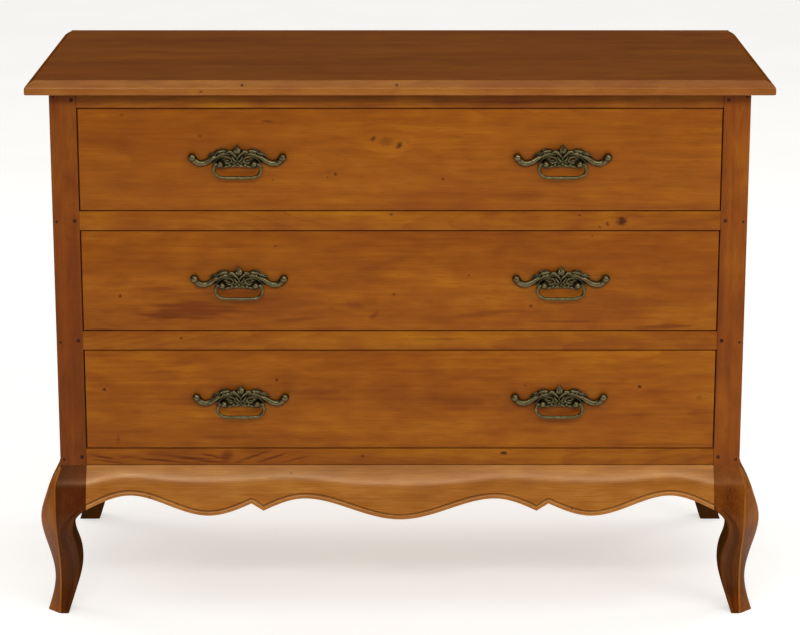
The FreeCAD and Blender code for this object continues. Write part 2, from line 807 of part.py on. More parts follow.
def pull_nut(name, sign, bolt):
    """The nut on the bolt's end inside the drawer."""
    nut = doc.addObject("Part::Prism", name)
    nut.Polygon = 6
    nut.Placement = Placement(Vector(), Rotation(Vector(0, 0, 1), Vector(0, 1, 0)))
    bind(nut, {"Circumradius": "nut_width / 2", "Height": "nut_height"})
    bind_place(nut, f"{sign} * post_spread / 2", "front_thickness", "0")
    return cut(nut, bolt)


def elbow(name, bend, x, z, quarter):
    """A quarter bend of the bail, about a centre in the plane that it hangs in."""
    ring = doc.addObject("Part::Torus", name)
    upright = Rotation(Vector(1, 0, 0), 90) * Rotation(Vector(0, 0, 1), 90 * quarter)
    ring.Placement = Placement(Vector(), upright)
    ring.Angle3 = 90
    bind(ring, {"Radius1": bend, "Radius2": "bail_diameter / 2"})
    bind_place(ring, x, "-pivot_reach", z)
    return ring


def bail_shape():
    """The hanging bail: two pins, two drops and a bar, joined by quarter bends."""
    parts = []
    bar_low = "(-bail_elbow - bail_drop - bail_bend)"
    pin_end = "(post_spread / 2 + boss_diameter / 2 - pin_depth)"
    pin_root = "(post_spread / 2 + boss_diameter / 2 + pin_end_room)"
    drop_x = f"({pin_root} + bail_elbow)"
    for side, sign in SIDES:
        pin_foot = (f"{sign} * {pin_end}", "-pivot_reach", "0")
        parts.append(rod("pin", "bail_diameter", f"{pin_root} - {pin_end}", pin_foot, Vector(sign, 0, 0)))
        upper_quarter, lower_quarter = (0, 3) if sign > 0 else (1, 2)
        parts.append(elbow("upper", "bail_elbow", f"{sign} * {pin_root}", "-bail_elbow", upper_quarter))
        drop_foot = (f"{sign} * {drop_x}", "-pivot_reach", "-bail_elbow")
        parts.append(rod("drop", "bail_diameter", "bail_drop", drop_foot, Vector(0, 0, -1)))
        bend_x = f"{sign} * ({drop_x} - bail_bend)"
        parts.append(elbow("lower", "bail_bend", bend_x, "-bail_elbow - bail_drop", lower_quarter))
    bar_foot = (f"-({drop_x} - bail_bend)", "-pivot_reach", bar_low)
    parts.append(rod("bar", "bail_diameter", f"2 * ({drop_x} - bail_bend)", bar_foot, Vector(1, 0, 0)))
    return join("bail", *parts)


# Right half of the backplate's middle, from under its centre round to the bud: X and Z
PLATE_EDGE = (
    (0, -5.2),
    (14, -4.8),
    (26, -7),
    (35, -1),
    (38.5, 6.5),
    (44.8, 12.4),
    (36, 15.5),
    (30, 20),
    (19, 21),
    (12.5, 17.5),
    (5, 20.5),
)


def plate_shape():
    """The pierced middle of the backplate, its back on the drawer's face."""
    right = [Vector(x, 0, z) for x, z in PLATE_EDGE]
    left = [Vector(-x, 0, z) for x, z in reversed(PLATE_EDGE[1:])]
    rim = Part.BSplineCurve()
    rim.interpolate(Points=right + left, PeriodicFlag=True)
    return flat_face([rim.toShape()]).extrude(Vector(0, -measure("plate_thickness"), 0))


def arm_shape(sign):
    """One scrolled arm, a round bar bent through its root, its dip and the ball at its end."""
    lift = -measure("arm_diameter / 2 + plate_seat")
    root = Vector(sign * measure("arm_root_reach"), lift, measure("arm_root_rise"))
    dip = Vector(sign * measure("arm_dip_reach"), lift, -measure("arm_dip"))
    end = Vector(sign * measure("ball_reach"), lift, measure("ball_rise"))
    path = Part.Arc(root, dip, end)
    start = path.tangent(path.FirstParameter)[0]
    ring = Part.Wire([Part.makeCircle(measure("arm_diameter / 2"), root, start)])
    return Part.Wire([path.toShape()]).makePipeShell([ring], True, True)


posts = [pull_post(f"{side}_pull_post", sign) for side, sign in SIDES]
nuts = [pull_nut(f"{side}_pull_nut", sign, post) for (side, sign), post in zip(SIDES, posts)]
bail = bail_shape()
plate_parts = [solid("plate_middle", plate_shape())]
plate_holes = []
for side, sign in SIDES:
    plate_parts.append(solid(f"{side}_arm", arm_shape(sign)))
    ball_place = (f"{sign} * ball_reach", "-(ball_diameter / 2 + plate_seat)", "ball_rise")
    seam_turn = 0 if sign > 0 else 180
    plate_parts.append(ball(f"{side}_ball", "ball_diameter", *ball_place, seam_turn))
    hole_foot = (f"{sign} * plate_hole_reach", "-2 * plate_thickness", "plate_hole_rise")
    hole_length = "2 * plate_thickness"
    plate_holes.append(rod("plate_hole", "plate_hole_diameter", hole_length, hole_foot, Vector(0, 1, 0)))
plate_parts.append(ball("bud", "bud_diameter", "0", "-(bud_diameter / 2 + plate_seat)", "bud_rise"))
plate = cut(join("plate", *plate_parts), *plate_holes, *posts)


# One drawer on a floor at Z = 0, then its three copies

DRAWER_OUT = f"({POST_X} - drawer_gap)"
DRAWER_IN = f"({DRAWER_OUT} - drawer_side_thickness)"
FRONT_BACK = f"({FACE} + front_thickness)"
DRAWER_END = f"({FACE} + drawer_length)"
BACK_END = f"({DRAWER_END} - drawer_back_setback)"
BOTTOM_LOW = "(slide_clearance + drawer_bottom_rise)"
BOTTOM_HIGH = f"({BOTTOM_LOW} + drawer_bottom_thickness)"
SIDE_HIGH = "(slide_clearance + drawer_side_height)"
PULL_Z = "(drawer_opening / 2 - pull_drop)"
TAILS = 3


def tail(name, across, z):
    """One dovetail of a drawer side, wider at its tip in the drawer front."""
    wedge = doc.addObject("Part::Wedge", name)
    bind(wedge, {
        "Xmin": across[0], "X2min": across[0], "Xmax": across[1], "X2max": across[1],
        "Ymin": f"{FRONT_BACK} - tail_length", "Ymax": FRONT_BACK,
        "Zmin": f"{z} - tail_tip_height / 2", "Zmax": f"{z} + tail_tip_height / 2",
        "Z2min": f"{z} - tail_root_height / 2", "Z2max": f"{z} + tail_root_height / 2",
    })
    return wedge


bottom_along = (f"({FRONT_BACK} - drawer_groove)", BACK_END)
bottom_across = centred(f"({DRAWER_IN} + drawer_groove)")
drawer_bottom = board("drawer_bottom", bottom_across, bottom_along, (BOTTOM_LOW, BOTTOM_HIGH))
back_along = (f"({BACK_END} - drawer_back_thickness)", BACK_END)
back_rise = (BOTTOM_HIGH, f"({SIDE_HIGH} - drawer_back_drop)")
drawer_back = board("drawer_back", bottom_across, back_along, back_rise)
drawer_sides = {}
for side, sign in SIDES:
    across = beside(sign, DRAWER_IN, DRAWER_OUT)
    parts = [board(f"{side}_plank", across, (FRONT_BACK, DRAWER_END), ("slide_clearance", SIDE_HIGH))]
    for index in range(TAILS):
        tail_z = f"(slide_clearance + drawer_side_height * {2 * index + 1} / {2 * TAILS})"
        parts.append(tail(f"{side}_tail", across, tail_z))
    drawer_sides[side] = cut(join(f"{side}_drawer_side", *parts), drawer_bottom, drawer_back)

pull_places = {side: f"{sign} * pull_spacing / 2" for side, sign in SIDES}
drawer_plates = []
drawer_fixings = []
drawer_posts = []
for side, x in pull_places.items():
    face_plate = placed_copy(f"{side}_plate", plate, x, PULL_Z)
    bind(face_plate, {"Placement.Base.y": FACE})
    drawer_plates.append(face_plate)
    for part in posts + nuts:
        fixing = placed_copy(f"{side}_fixing", part, x, PULL_Z)
        bind(fixing, {"Placement.Base.y": FACE})
        drawer_fixings.append(fixing)
        if part in posts:
            drawer_posts.append(fixing)

front_rise = ("drawer_gap", "(drawer_opening - drawer_gap)")
front_blank = board("drawer_front", centred(DRAWER_OUT), (FACE, FRONT_BACK), front_rise)
drawer_front = cut(front_blank, *drawer_sides.values(), drawer_bottom, *drawer_posts)
drawer_kit = {
    "front": drawer_front,
    "left_side": drawer_sides["left"],
    "right_side": drawer_sides["right"],
    "back": drawer_back,
    "bottom": drawer_bottom,
    "backplates": bundle("drawer_backplates", drawer_plates),
    "pull_posts": bundle("drawer_pull_posts", drawer_fixings),
}
for drawer, floor in DRAWER_FLOORS.items():
    for name, part in drawer_kit.items():
        label = f"{drawer}_drawer_{name}"
        piece(label, placed_copy(label, part, z=floor))
    for side, x in pull_places.items():
        label = f"{drawer}_{side}_bail"
        hung = piece(label, placed_copy(label, bail, x, f"{floor} + {PULL_Z}"))
        bind(hung, {"Placement.Base.y": FACE})


# Check every feature, then write each piece to its own file

doc.recompute()
for feature in doc.Objects:
    if "Invalid" in feature.State or "Error" in feature.State:
        raise RuntimeError(f"{feature.Label} failed: {feature.State}")
for finished in pieces:
    if finished.Shape.isNull() or not finished.Shape.isValid() or not finished.Shape.Solids:
        raise RuntimeError(f"{finished.Label} has no valid solid")
os.makedirs("parts", exist_ok=True)
for finished in pieces:
    finished.Shape.exportStep(f"parts/{finished.Label}.step")
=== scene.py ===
"""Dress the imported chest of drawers: its woods and its brass, and the studio that it is seen in.

The classes hold their sizes in millimetres, as a maker would give them. Meshes are in metres, in the frame of
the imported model: X to the right, Y to the back, Z up from the floor.
"""
import logging
import math
from dataclasses import dataclass, field
from enum import Enum, IntEnum
from typing import Any, Iterable, Sequence, Union

import bmesh
import bpy
import numpy as np
from bpy.types import Material, Mesh, Node, NodeSocket, NodeTree, Object
from mathutils import Euler, Matrix, Vector


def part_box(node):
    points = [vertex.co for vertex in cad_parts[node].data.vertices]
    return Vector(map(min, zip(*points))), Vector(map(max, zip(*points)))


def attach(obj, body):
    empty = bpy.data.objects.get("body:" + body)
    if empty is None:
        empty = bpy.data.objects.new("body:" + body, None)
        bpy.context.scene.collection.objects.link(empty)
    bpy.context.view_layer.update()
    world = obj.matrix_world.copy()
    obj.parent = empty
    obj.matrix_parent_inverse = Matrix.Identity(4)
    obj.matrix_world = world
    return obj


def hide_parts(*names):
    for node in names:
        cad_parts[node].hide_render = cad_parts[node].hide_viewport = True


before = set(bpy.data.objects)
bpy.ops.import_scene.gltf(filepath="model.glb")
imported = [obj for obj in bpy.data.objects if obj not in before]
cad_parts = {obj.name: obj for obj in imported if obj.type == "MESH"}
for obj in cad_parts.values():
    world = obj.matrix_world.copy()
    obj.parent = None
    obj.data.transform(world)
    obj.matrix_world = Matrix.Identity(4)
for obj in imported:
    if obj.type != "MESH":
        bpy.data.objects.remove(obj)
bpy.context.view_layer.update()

LOG = logging.getLogger("chest")
MM = 0.001
SMOOTH_ANGLE = math.radians(32)
MERGE_DISTANCE = 0.01 * MM
FLAT_ANGLE = math.radians(1)
SQUARE_ANGLE = math.radians(60)
EASE_SEGMENTS = 3
LONGEST_ROUND = 0.45
MATH = "ShaderNodeMath"
VECTOR = "ShaderNodeVectorMath"
RANGE = "ShaderNodeMapRange"
NOISE = "ShaderNodeTexNoise"
MAPPING = "ShaderNodeMapping"
HOLLOWS = "ShaderNodeAmbientOcclusion"
SIDES = {"left": -1, "right": 1}
CORNERS = [(end, side) for end in ("front", "rear") for side in SIDES]
Colour = tuple[float, float, float, float]
Spot = tuple[float, float]
Place = tuple[float, float, float]
Source = Union[Node, NodeSocket]
Wash = tuple[Source, str]


def linear(colour: str) -> Colour:
    """Turn an sRGB colour into linear light.

    Args:
        colour: Six hex digits.

    Returns:
        Red, green, blue and an alpha of one.
    """
    channels = []
    for start in (0, 2, 4):
        value = int(colour[start:start + 2], 16) / 255
        channels.append(value / 12.92 if value <= 0.04045 else ((value + 0.055) / 1.055) ** 2.4)
    return channels[0], channels[1], channels[2], 1.0


def feed(node: Node, feeds: dict[Any, Any]) -> None:
    """Set a node's inputs.

    Args:
        node: The node.
        feeds: For each input, by name or number, a plain value, the output that drives it, or the node whose
            first output does.
    """
    for key, value in feeds.items():
        if isinstance(value, Node):
            value = value.outputs[0]
        if isinstance(value, NodeSocket):
            node.id_data.links.new(value, node.inputs[key])
        else:
            node.inputs[key].default_value = value


def add_node(tree: NodeTree, kind: str, feeds: dict[Any, Any] | None = None, **settings: Any) -> Node:
    """Add one node with its settings and links.

    Args:
        tree: The tree that gets the node.
        kind: The node's type name.
        feeds: What its inputs get.
        settings: The node's own properties.

    Returns:
        The new node.
    """
    made = tree.nodes.new(kind)
    for name, value in settings.items():
        setattr(made, name, value)
    feed(made, feeds or {})
    return made


def new_material(name: str) -> tuple[Material, Node, NodeSocket]:
    """Start a material.

    Args:
        name: Its name.

    Returns:
        The material, its shader and the place on the object.
    """
    made = bpy.data.materials.new(name)
    made.use_nodes = True
    place = add_node(made.node_tree, "ShaderNodeTexCoord").outputs["Object"]
    return made, made.node_tree.nodes["Principled BSDF"], place


def set_stops(ramp: Node, places: Sequence[float], colours: Sequence[str]) -> None:
    """Give a colour ramp three stops.

    Args:
        ramp: The ramp's node.
        places: Where the stops lie, in order.
        colours: Their colours.
    """
    stops = ramp.color_ramp.elements
    stops[0].position, stops[0].color = places[0], linear(colours[0])
    stops[1].position, stops[1].color = places[2], linear(colours[2])
    stops.new(places[1]).color = linear(colours[1])


def smooth_curve(points: Sequence[Spot], count: int) -> np.ndarray:
    """Sample a natural cubic curve through points.

    Args:
        points: The points that it passes, in order.
        count: How many samples to take, evenly along the chords.

    Returns:
        The samples, one row each.
    """
    spots = np.array(points, float)
    steps = np.linalg.norm(np.diff(spots, axis=0), axis=1)
    knots = np.concatenate(([0.0], np.cumsum(steps)))
    last = len(spots) - 1
    system = np.eye(last + 1)
    right = np.zeros_like(spots)
    slopes = np.diff(spots, axis=0) / steps[:, None]
    for i in range(1, last):
        system[i, i - 1:i + 2] = steps[i - 1], 2 * (steps[i - 1] + steps[i]), steps[i]
        right[i] = 6 * (slopes[i] - slopes[i - 1])
    bends = np.linalg.solve(system, right)
    along = np.linspace(0.0, knots[-1], count)
    low = np.clip(np.searchsorted(knots, along, side="right") - 1, 0, last - 1)
    step = steps[low][:, None]
    ahead = (knots[low + 1] - along)[:, None]
    behind = (along - knots[low])[:, None]
    curve = (bends[low] * ahead ** 3 + bends[low + 1] * behind ** 3) / (6 * step)
    curve += (spots[low] / step - bends[low] * step / 6) * ahead
    curve += (spots[low + 1] / step - bends[low + 1] * step / 6) * behind
    return curve


def between(place: float, stations: Sequence[Spot]) -> float:
    """Read a value between stations, each given by its place and its value."""
    return float(np.interp(place, *zip(*stations)))


def rounded_outline(corners: Sequence[tuple[float, float, float]], steps: int) -> list[Spot]:
    """Round the corners of a closed outline.

    Args:
        corners: Each corner's two coordinates and how far its round reaches along both edges.
        steps: How many points each round gets.

    Returns:
        The outline's points, the same number for every outline with as many corners.
    """
    outline = []
    count = len(corners)
    for i, (x, y, reach) in enumerate(corners):
        corner = Vector((x, y))
        before = Vector(corners[i - 1][:2]) - corner
        after = Vector(corners[(i + 1) % count][:2]) - corner
        start = corner + before.normalized() * min(reach, before.length * LONGEST_ROUND)
        end = corner + after.normalized() * min(reach, after.length * LONGEST_ROUND)
        for step in range(steps):
            t = step / (steps - 1)
            point = start * (1 - t) ** 2 + corner * (2 * t * (1 - t)) + end * t ** 2
            outline.append((point.x, point.y))
    return outline


def lofted_mesh(name: str, rings: np.ndarray) -> Mesh:
    """Skin closed rings into one closed shell with flat ends.

    Args:
        name: The mesh's name.
        rings: Rings of points in millimetres, all with the same number of points.

    Returns:
        The mesh, its faces pointing outwards.
    """
    count, around = rings.shape[:2]
    faces = []
    for ring in range(count - 1):
        for i in range(around):
            j = (i + 1) % around
            low = ring * around
            faces.append((low + i, low + j, low + around + j, low + around + i))
    faces.append(tuple(range(around)))
    faces.append(tuple(range((count - 1) * around, count * around)))
    mesh = bpy.data.meshes.new(name)
    mesh.from_pydata((rings.reshape(-1, 3) * MM).tolist(), [], faces)
    return tidied(mesh)


def shaded(mesh: Mesh) -> Mesh:
    """Shade a mesh's rounds smooth and keep its arrises sharp.

    Args:
        mesh: The mesh, which is changed.

    Returns:
        The same mesh.
    """
    mesh.shade_smooth()
    mesh.set_sharp_from_angle(angle=SMOOTH_ANGLE)
    return mesh


def tidied(mesh: Mesh) -> Mesh:
    """Merge a mesh's doubles, turn its faces outwards and shade its rounds smooth.

    Args:
        mesh: The mesh, which is changed.

    Returns:
        The same mesh.
    """
    work = bmesh.new()
    work.from_mesh(mesh)
    bmesh.ops.remove_doubles(work, verts=work.verts, dist=MERGE_DISTANCE)
    bmesh.ops.dissolve_degenerate(work, edges=work.edges, dist=MERGE_DISTANCE)
    bmesh.ops.recalc_face_normals(work, faces=work.faces)
    work.to_mesh(mesh)
    work.free()
    return shaded(mesh)


def eased_copy(node: str, ease: float, shortest: float) -> Mesh:
    """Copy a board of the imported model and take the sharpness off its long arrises.

    Args:
        node: The board's node.
        ease: Width of the round in millimetres.
        shortest: Arrises shorter than this, in millimetres, stay sharp.

    Returns:
        The copy.
    """
    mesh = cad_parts[node].data.copy()
    work = bmesh.new()
    work.from_mesh(mesh)
    bmesh.ops.remove_doubles(work, verts=work.verts, dist=MERGE_DISTANCE)
    bmesh.ops.dissolve_limit(work, angle_limit=FLAT_ANGLE, verts=work.verts, edges=work.edges)
    arrises = []
    for edge in work.edges:
        square = edge.is_convex and edge.calc_face_angle(0) > SQUARE_ANGLE
        if square and edge.calc_length() > shortest * MM:
            arrises.append(edge)
    bmesh.ops.bevel(
        work, geom=arrises, offset=ease * MM, segments=EASE_SEGMENTS, profile=0.5, affect="EDGES"
    )
    work.to_mesh(mesh)
    work.free()
    mesh.name = f"{node}_eased"
    if "custom_normal" in mesh.attributes:
        mesh.attributes.remove(mesh.attributes["custom_normal"])
    return shaded(mesh)


def add_object(name: str, data: bpy.types.ID) -> Object:
    """Put an object into the scene.

    Args:
        name: Its name.
        data: Its mesh, curve, light or camera.

    Returns:
        The object.
    """
    made = bpy.data.objects.new(name, data)
    bpy.context.scene.collection.objects.link(made)
    return made


def add_path(curve: bpy.types.Curve, points: Iterable[Place]) -> bpy.types.Spline:
    """Add a smooth path to a curve.

    Args:
        curve: The curve.
        points: The points that the path passes, in millimetres.

    Returns:
        The path.
    """
    spots = list(points)
    path = curve.splines.new("BEZIER")
    path.bezier_points.add(len(spots) - 1)
    for knot, spot in zip(path.bezier_points, spots):
        knot.co = Vector(spot) * MM
        knot.handle_left_type = knot.handle_right_type = "AUTO"
    return path


def taken_mesh(holder: Object) -> Mesh:
    """Turn a curve's object, as its modifiers leave it, into a plain mesh.

    Args:
        holder: The object, which is removed with its curve.

    Returns:
        The mesh, under the object's name.
    """
    bpy.context.view_layer.update()
    evaluated = holder.evaluated_get(bpy.context.evaluated_depsgraph_get())
    mesh = bpy.data.meshes.new_from_object(evaluated)
    mesh.name = holder.name
    curve = holder.data
    bpy.data.objects.remove(holder)
    bpy.data.curves.remove(curve)
    return mesh


def finish_piece(
    name: str,
    mesh: Mesh,
    materials: Sequence[Material],
    body: str,
    nodes: Iterable[str] = (),
) -> Object:
    """Put a finished mesh on its body.

    Args:
        name: The piece's name.
        mesh: Its mesh, in place.
        materials: Its materials in the order of its faces' numbers.
        body: The body that it moves with.
        nodes: The nodes that it stands for.

    Returns:
        The piece.
    """
    if mesh.materials:
        mesh.materials.clear()
    for material in materials:
        mesh.materials.append(material)
    piece = add_object(name, mesh)
    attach(piece, body)
    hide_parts(*nodes)
    LOG.info("%s rides on %s with %d faces", name, body, len(mesh.polygons))
    return piece


def dress_node(node: str, material: Material) -> None:
    """Give a node that stays its finish.

    Args:
        node: The node's name.
        material: Its finish.
    """
    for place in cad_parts[node].material_slots:
        place.material = material
    LOG.info("%s keeps its shape and gets %s", node, material.name)


class Grain(Enum):
    """Which way a board's grain runs, as the turn that lays a pattern's X axis along it."""

    ACROSS = (0.0, 0.0, 0.0)
    UPRIGHT = (0.0, math.pi / 2, 0.0)
    DEEP = (0.0, 0.0, -math.pi / 2)


class Plane(Enum):
    """Which face of a board a mark is seen on, as the axes across it, up it and through the board."""

    FRONT = (0, 2, 1)
    SIDE = (1, 2, 0)


@dataclass(frozen=True)
class MarkLook:
    """How a kind of mark shows.

    Its core is the share of its size with the full colour, its raggedness how uneven its outline is, its
    tongues the length and height in millimetres of what makes it so, and its bend how far the grain
    gives way.
    """

    colour: str
    strength: float
    core: float
    raggedness: float
    tongues: Spot
    bend: float


class MarkKind(Enum):
    """The marks that boards have, and a broad patch of painted shade."""

    KNOT = MarkLook("3a1602", 0.9, 0.25, 0.5, (4.0, 3.0), 0.7)
    STREAK = MarkLook("4c1a04", 0.6, 0.1, 0.7, (50.0, 2.5), 0.0)
    FLAME = MarkLook("662f06", 0.8, 0.25, 0.9, (60.0, 5.0), 0.1)
    BLOTCH = MarkLook("5c2205", 0.7, 0.1, 0.6, (16.0, 9.0), 0.0)
    NAIL = MarkLook("1c0a03", 0.85, 0.55, 0.2, (2.0, 2.0), 0.0)
    # Painted shade: a broad soft darkening, laid over the lower legs for the shade on their down-facing shins
    PAINTED_SHADE = MarkLook("331404", 0.6, 0.2, 0.3, (40.0, 40.0), 0.0)


KNOT, STREAK, FLAME, BLOTCH, NAIL, PAINTED_SHADE = MarkKind


@dataclass(frozen=True)
class Mark:
    """A mark of some kind on a board, by its middle and its size in millimetres."""

    kind: MarkKind
    across: float
    up: float
    length: float
    height: float
    strength: float = 1.0
    tilt: float = 0.0
    plane: Plane = Plane.FRONT

    SWIRL = 3.5
    TONGUE_DETAIL = 2.0

    def laid(self, across: float, up: float, through: float) -> tuple[float, ...]:
        """Lay values along the mark's plane and through it.

        Args:
            across: Value across the plane.
            up: Value up the plane.
            through: Value through the plane.

        Returns:
            The values by X, Y and Z.
        """
        values = [0.0, 0.0, 0.0]
        for axis, value in zip(self.plane.value, (across, up, through)):
            values[axis] = value
        return tuple(values)

    def draw(self, tree: NodeTree, place: Source) -> tuple[Source, Source]:
        """Bend the grain round the mark and work out its shade.

        Args:
            tree: The material's tree.
            place: The place on the board, as bent by the marks before.

        Returns:
            The place as bent by this mark too, and the share of its colour.
        """
        look = self.kind.value
        middle = self.laid(self.across * MM, self.up * MM, 0.0)
        away = add_node(tree, VECTOR, {0: place, 1: middle}, operation="SUBTRACT")
        off = add_node(tree, VECTOR, {0: away, 1: self.laid(1.0, 1.0, 0.0)}, operation="MULTIPLY")
        sizes = self.laid(self.length * MM / 2, self.height * MM / 2, 1.0)
        turn = self.laid(0.0, 0.0, math.radians(self.tilt))
        turned = {"Vector": off, "Rotation": turn, "Scale": sizes}
        own = add_node(tree, MAPPING, turned, vector_type="TEXTURE")
        distance = add_node(tree, VECTOR, {0: own}, operation="LENGTH").outputs["Value"]
        long, high = (1 / (size * MM) for size in look.tongues)
        spread = add_node(tree, VECTOR, {0: place, 1: self.laid(long, high, 0.0)}, operation="MULTIPLY")
        waver = add_node(tree, NOISE, {"Vector": spread, "Scale": 1.0, "Detail": self.TONGUE_DETAIL})
        uneven = {0: waver, 1: 2 * look.raggedness, 2: -look.raggedness}
        rough = add_node(tree, MATH, uneven, operation="MULTIPLY_ADD")
        edge = add_node(tree, MATH, {0: distance, 1: rough}, operation="ADD")
        fade = {0: edge, 1: look.core, 2: 1.0, 3: look.strength * self.strength, 4: 0.0}
        shade = add_node(tree, RANGE, fade, interpolation_type="SMOOTHSTEP")
        if look.bend:
            fade = {0: distance, 1: 0.0, 2: self.SWIRL, 3: look.bend, 4: 0.0}
            give = add_node(tree, RANGE, fade, interpolation_type="SMOOTHSTEP")
            shift = add_node(tree, VECTOR, {0: off, "Scale": give}, operation="SCALE")
            place = add_node(tree, VECTOR, {0: place, 1: shift}, operation="SUBTRACT")
        return place, shade


@dataclass(frozen=True)
class Wood:
    """A board of one kind of wood, with its own stretch of grain.

    The eye sees soft reddish clouds, broad figure, the fine late-wood lines of its rings, narrow streaks and
    short open pores that all run with the grain, painted shade that darkens its hollows and the place under
    an overhang, and over them a satin lacquer where the board is finished. The pores are drawn about twice
    as wide as real ones, so that they show.
    """

    name: str
    grain: Grain
    seed: float
    shades: tuple[str, str, str] = ("6d3308", "8e4e0c", "aa6a12")
    figure: float = 0.7
    mottle: float = 0.5
    streaks: float = 0.3
    rings: float = 0.04
    clouds: float = 0.35
    lacquer: float = 0.02
    polish: float = 0.2
    sheen: float = 0.08
    gleam: str = "ffffff"
    roughness: float = 0.4
    # Reach in millimetres of the painted shade in hollows and under overhangs; none when zero
    hollow: float = 0.0
    marks: tuple[Mark, ...] = ()

    CLOUD_SIZE = (230.0, 75.0)
    FIGURE_SIZE = (700.0, 60.0)
    MOTTLE_SIZE = (55.0, 20.0)
    RING_SIZE = (1200.0, 170.0)
    STREAK_SIZE = (240.0, 6.0)
    FIBRE_SIZE = (70.0, 1.8)
    PORE_SIZE = (16.0, 0.9)
    RING_COUNT = 44.0
    RING_SHARPNESS = 3.0
    FIBRE_SHADE = 0.18
    CLOUD_COLOUR = "6e2a07"
    # Darkest colour of the painted shade in hollows and under overhangs
    HOLLOW_SHADE_COLOUR = "1e0a02"
    SHADE_PLACES = (0.18, 0.5, 0.82)
    PORE_LIMITS = (0.6, 0.72)
    PORE_SHADE = 0.3
    CLOUD_LIMITS = (0.42, 0.75)
    # How open a place must be to escape that painted shade, and how dark the shade gets
    HOLLOW_SHADE_LIMITS = (0.45, 0.9)
    HOLLOW_SHADE_STRENGTH = 0.75
    GLOSS_SPREAD = 0.1
    RELIEF = 0.3
    RELIEF_STRENGTH = 0.1
    NOISE_ROUGHNESS = 0.55
    NOISE_WARP = 0.25
    SEED_STEPS = (3.1, 1.7, 0.9)

    def noise(self, tree: NodeTree, board: Source, size: Spot, detail: float) -> Node:
        """Add noise that is stretched along the grain.

        Args:
            tree: The material's tree.
            board: The place on the board, with X along the grain.
            size: Length and width of the noise's patches in millimetres.
            detail: How many finer layers it has.

        Returns:
            The noise, around one half.
        """
        along, across = (1 / (length * MM) for length in size)
        spread = add_node(tree, MAPPING, {"Vector": board, "Scale": (along, across, across)})
        kind = {"Detail": detail, "Roughness": self.NOISE_ROUGHNESS, "Distortion": self.NOISE_WARP}
        return add_node(tree, NOISE, {"Vector": spread, "Scale": 1.0, **kind})

    def tone(self, tree: NodeTree, board: Source, fibre: Source) -> Node:
        """Add up the layers of grain.

        Args:
            tree: The material's tree.
            board: The place on the board, with X along the grain.
            fibre: The finest layer.

        Returns:
            How light the wood is, around one half.
        """
        figure = self.noise(tree, board, self.FIGURE_SIZE, 2.0)
        mottle = self.noise(tree, board, self.MOTTLE_SIZE, 1.0)
        streak = self.noise(tree, board, self.STREAK_SIZE, 3.0)
        hills = self.noise(tree, board, self.RING_SIZE, 1.0)
        turns = add_node(tree, MATH, {0: hills, 1: self.RING_COUNT}, operation="MULTIPLY")
        ring = add_node(tree, MATH, {0: turns}, operation="FRACT")
        late = add_node(tree, MATH, {0: ring, 1: self.RING_SHARPNESS}, operation="POWER")
        late_mean = 1 / (self.RING_SHARPNESS + 1)
        layers = (
            (figure, self.figure), (mottle, self.mottle), (streak, self.streaks), (fibre, self.FIBRE_SHADE)
        )
        total = 0.5 + self.rings * late_mean - sum(share for layer, share in layers) / 2
        for layer, share in layers + ((late, -self.rings),):
            total = add_node(tree, MATH, {0: layer, 1: share, 2: total}, operation="MULTIPLY_ADD")
        return total

    def clouding(self, tree: NodeTree, board: Source) -> list[Wash]:
        """Add the reddish clouds, where the wood has them.

        Args:
            tree: The material's tree.
            board: The place on the board, with X along the grain.

        Returns:
            Their share and their colour, or nothing.
        """
        if not self.clouds:
            return []
        cloud = self.noise(tree, board, self.CLOUD_SIZE, 1.0)
        low, high = self.CLOUD_LIMITS
        haze = add_node(tree, RANGE, {0: cloud, 1: low, 2: high, 3: 0.0, 4: self.clouds})
        return [(haze, self.CLOUD_COLOUR)]

    def hollow_shading(self, tree: NodeTree) -> list[Wash]:
        """Add painted shade to the board's hollows and under overhangs, where the board has it.

        Args:
            tree: The material's tree.

        Returns:
            Its share and its colour, or nothing.
        """
        if not self.hollow:
            return []
        # Painted shade: the more enclosed the surface is within this reach, the darker it is painted
        openness = add_node(tree, HOLLOWS, {"Distance": self.hollow * MM}, samples=4).outputs["AO"]
        low, high = self.HOLLOW_SHADE_LIMITS
        hollow_shade = add_node(tree, RANGE, {0: openness, 1: low, 2: high, 3: self.HOLLOW_SHADE_STRENGTH, 4: 0.0})
        return [(hollow_shade, self.HOLLOW_SHADE_COLOUR)]

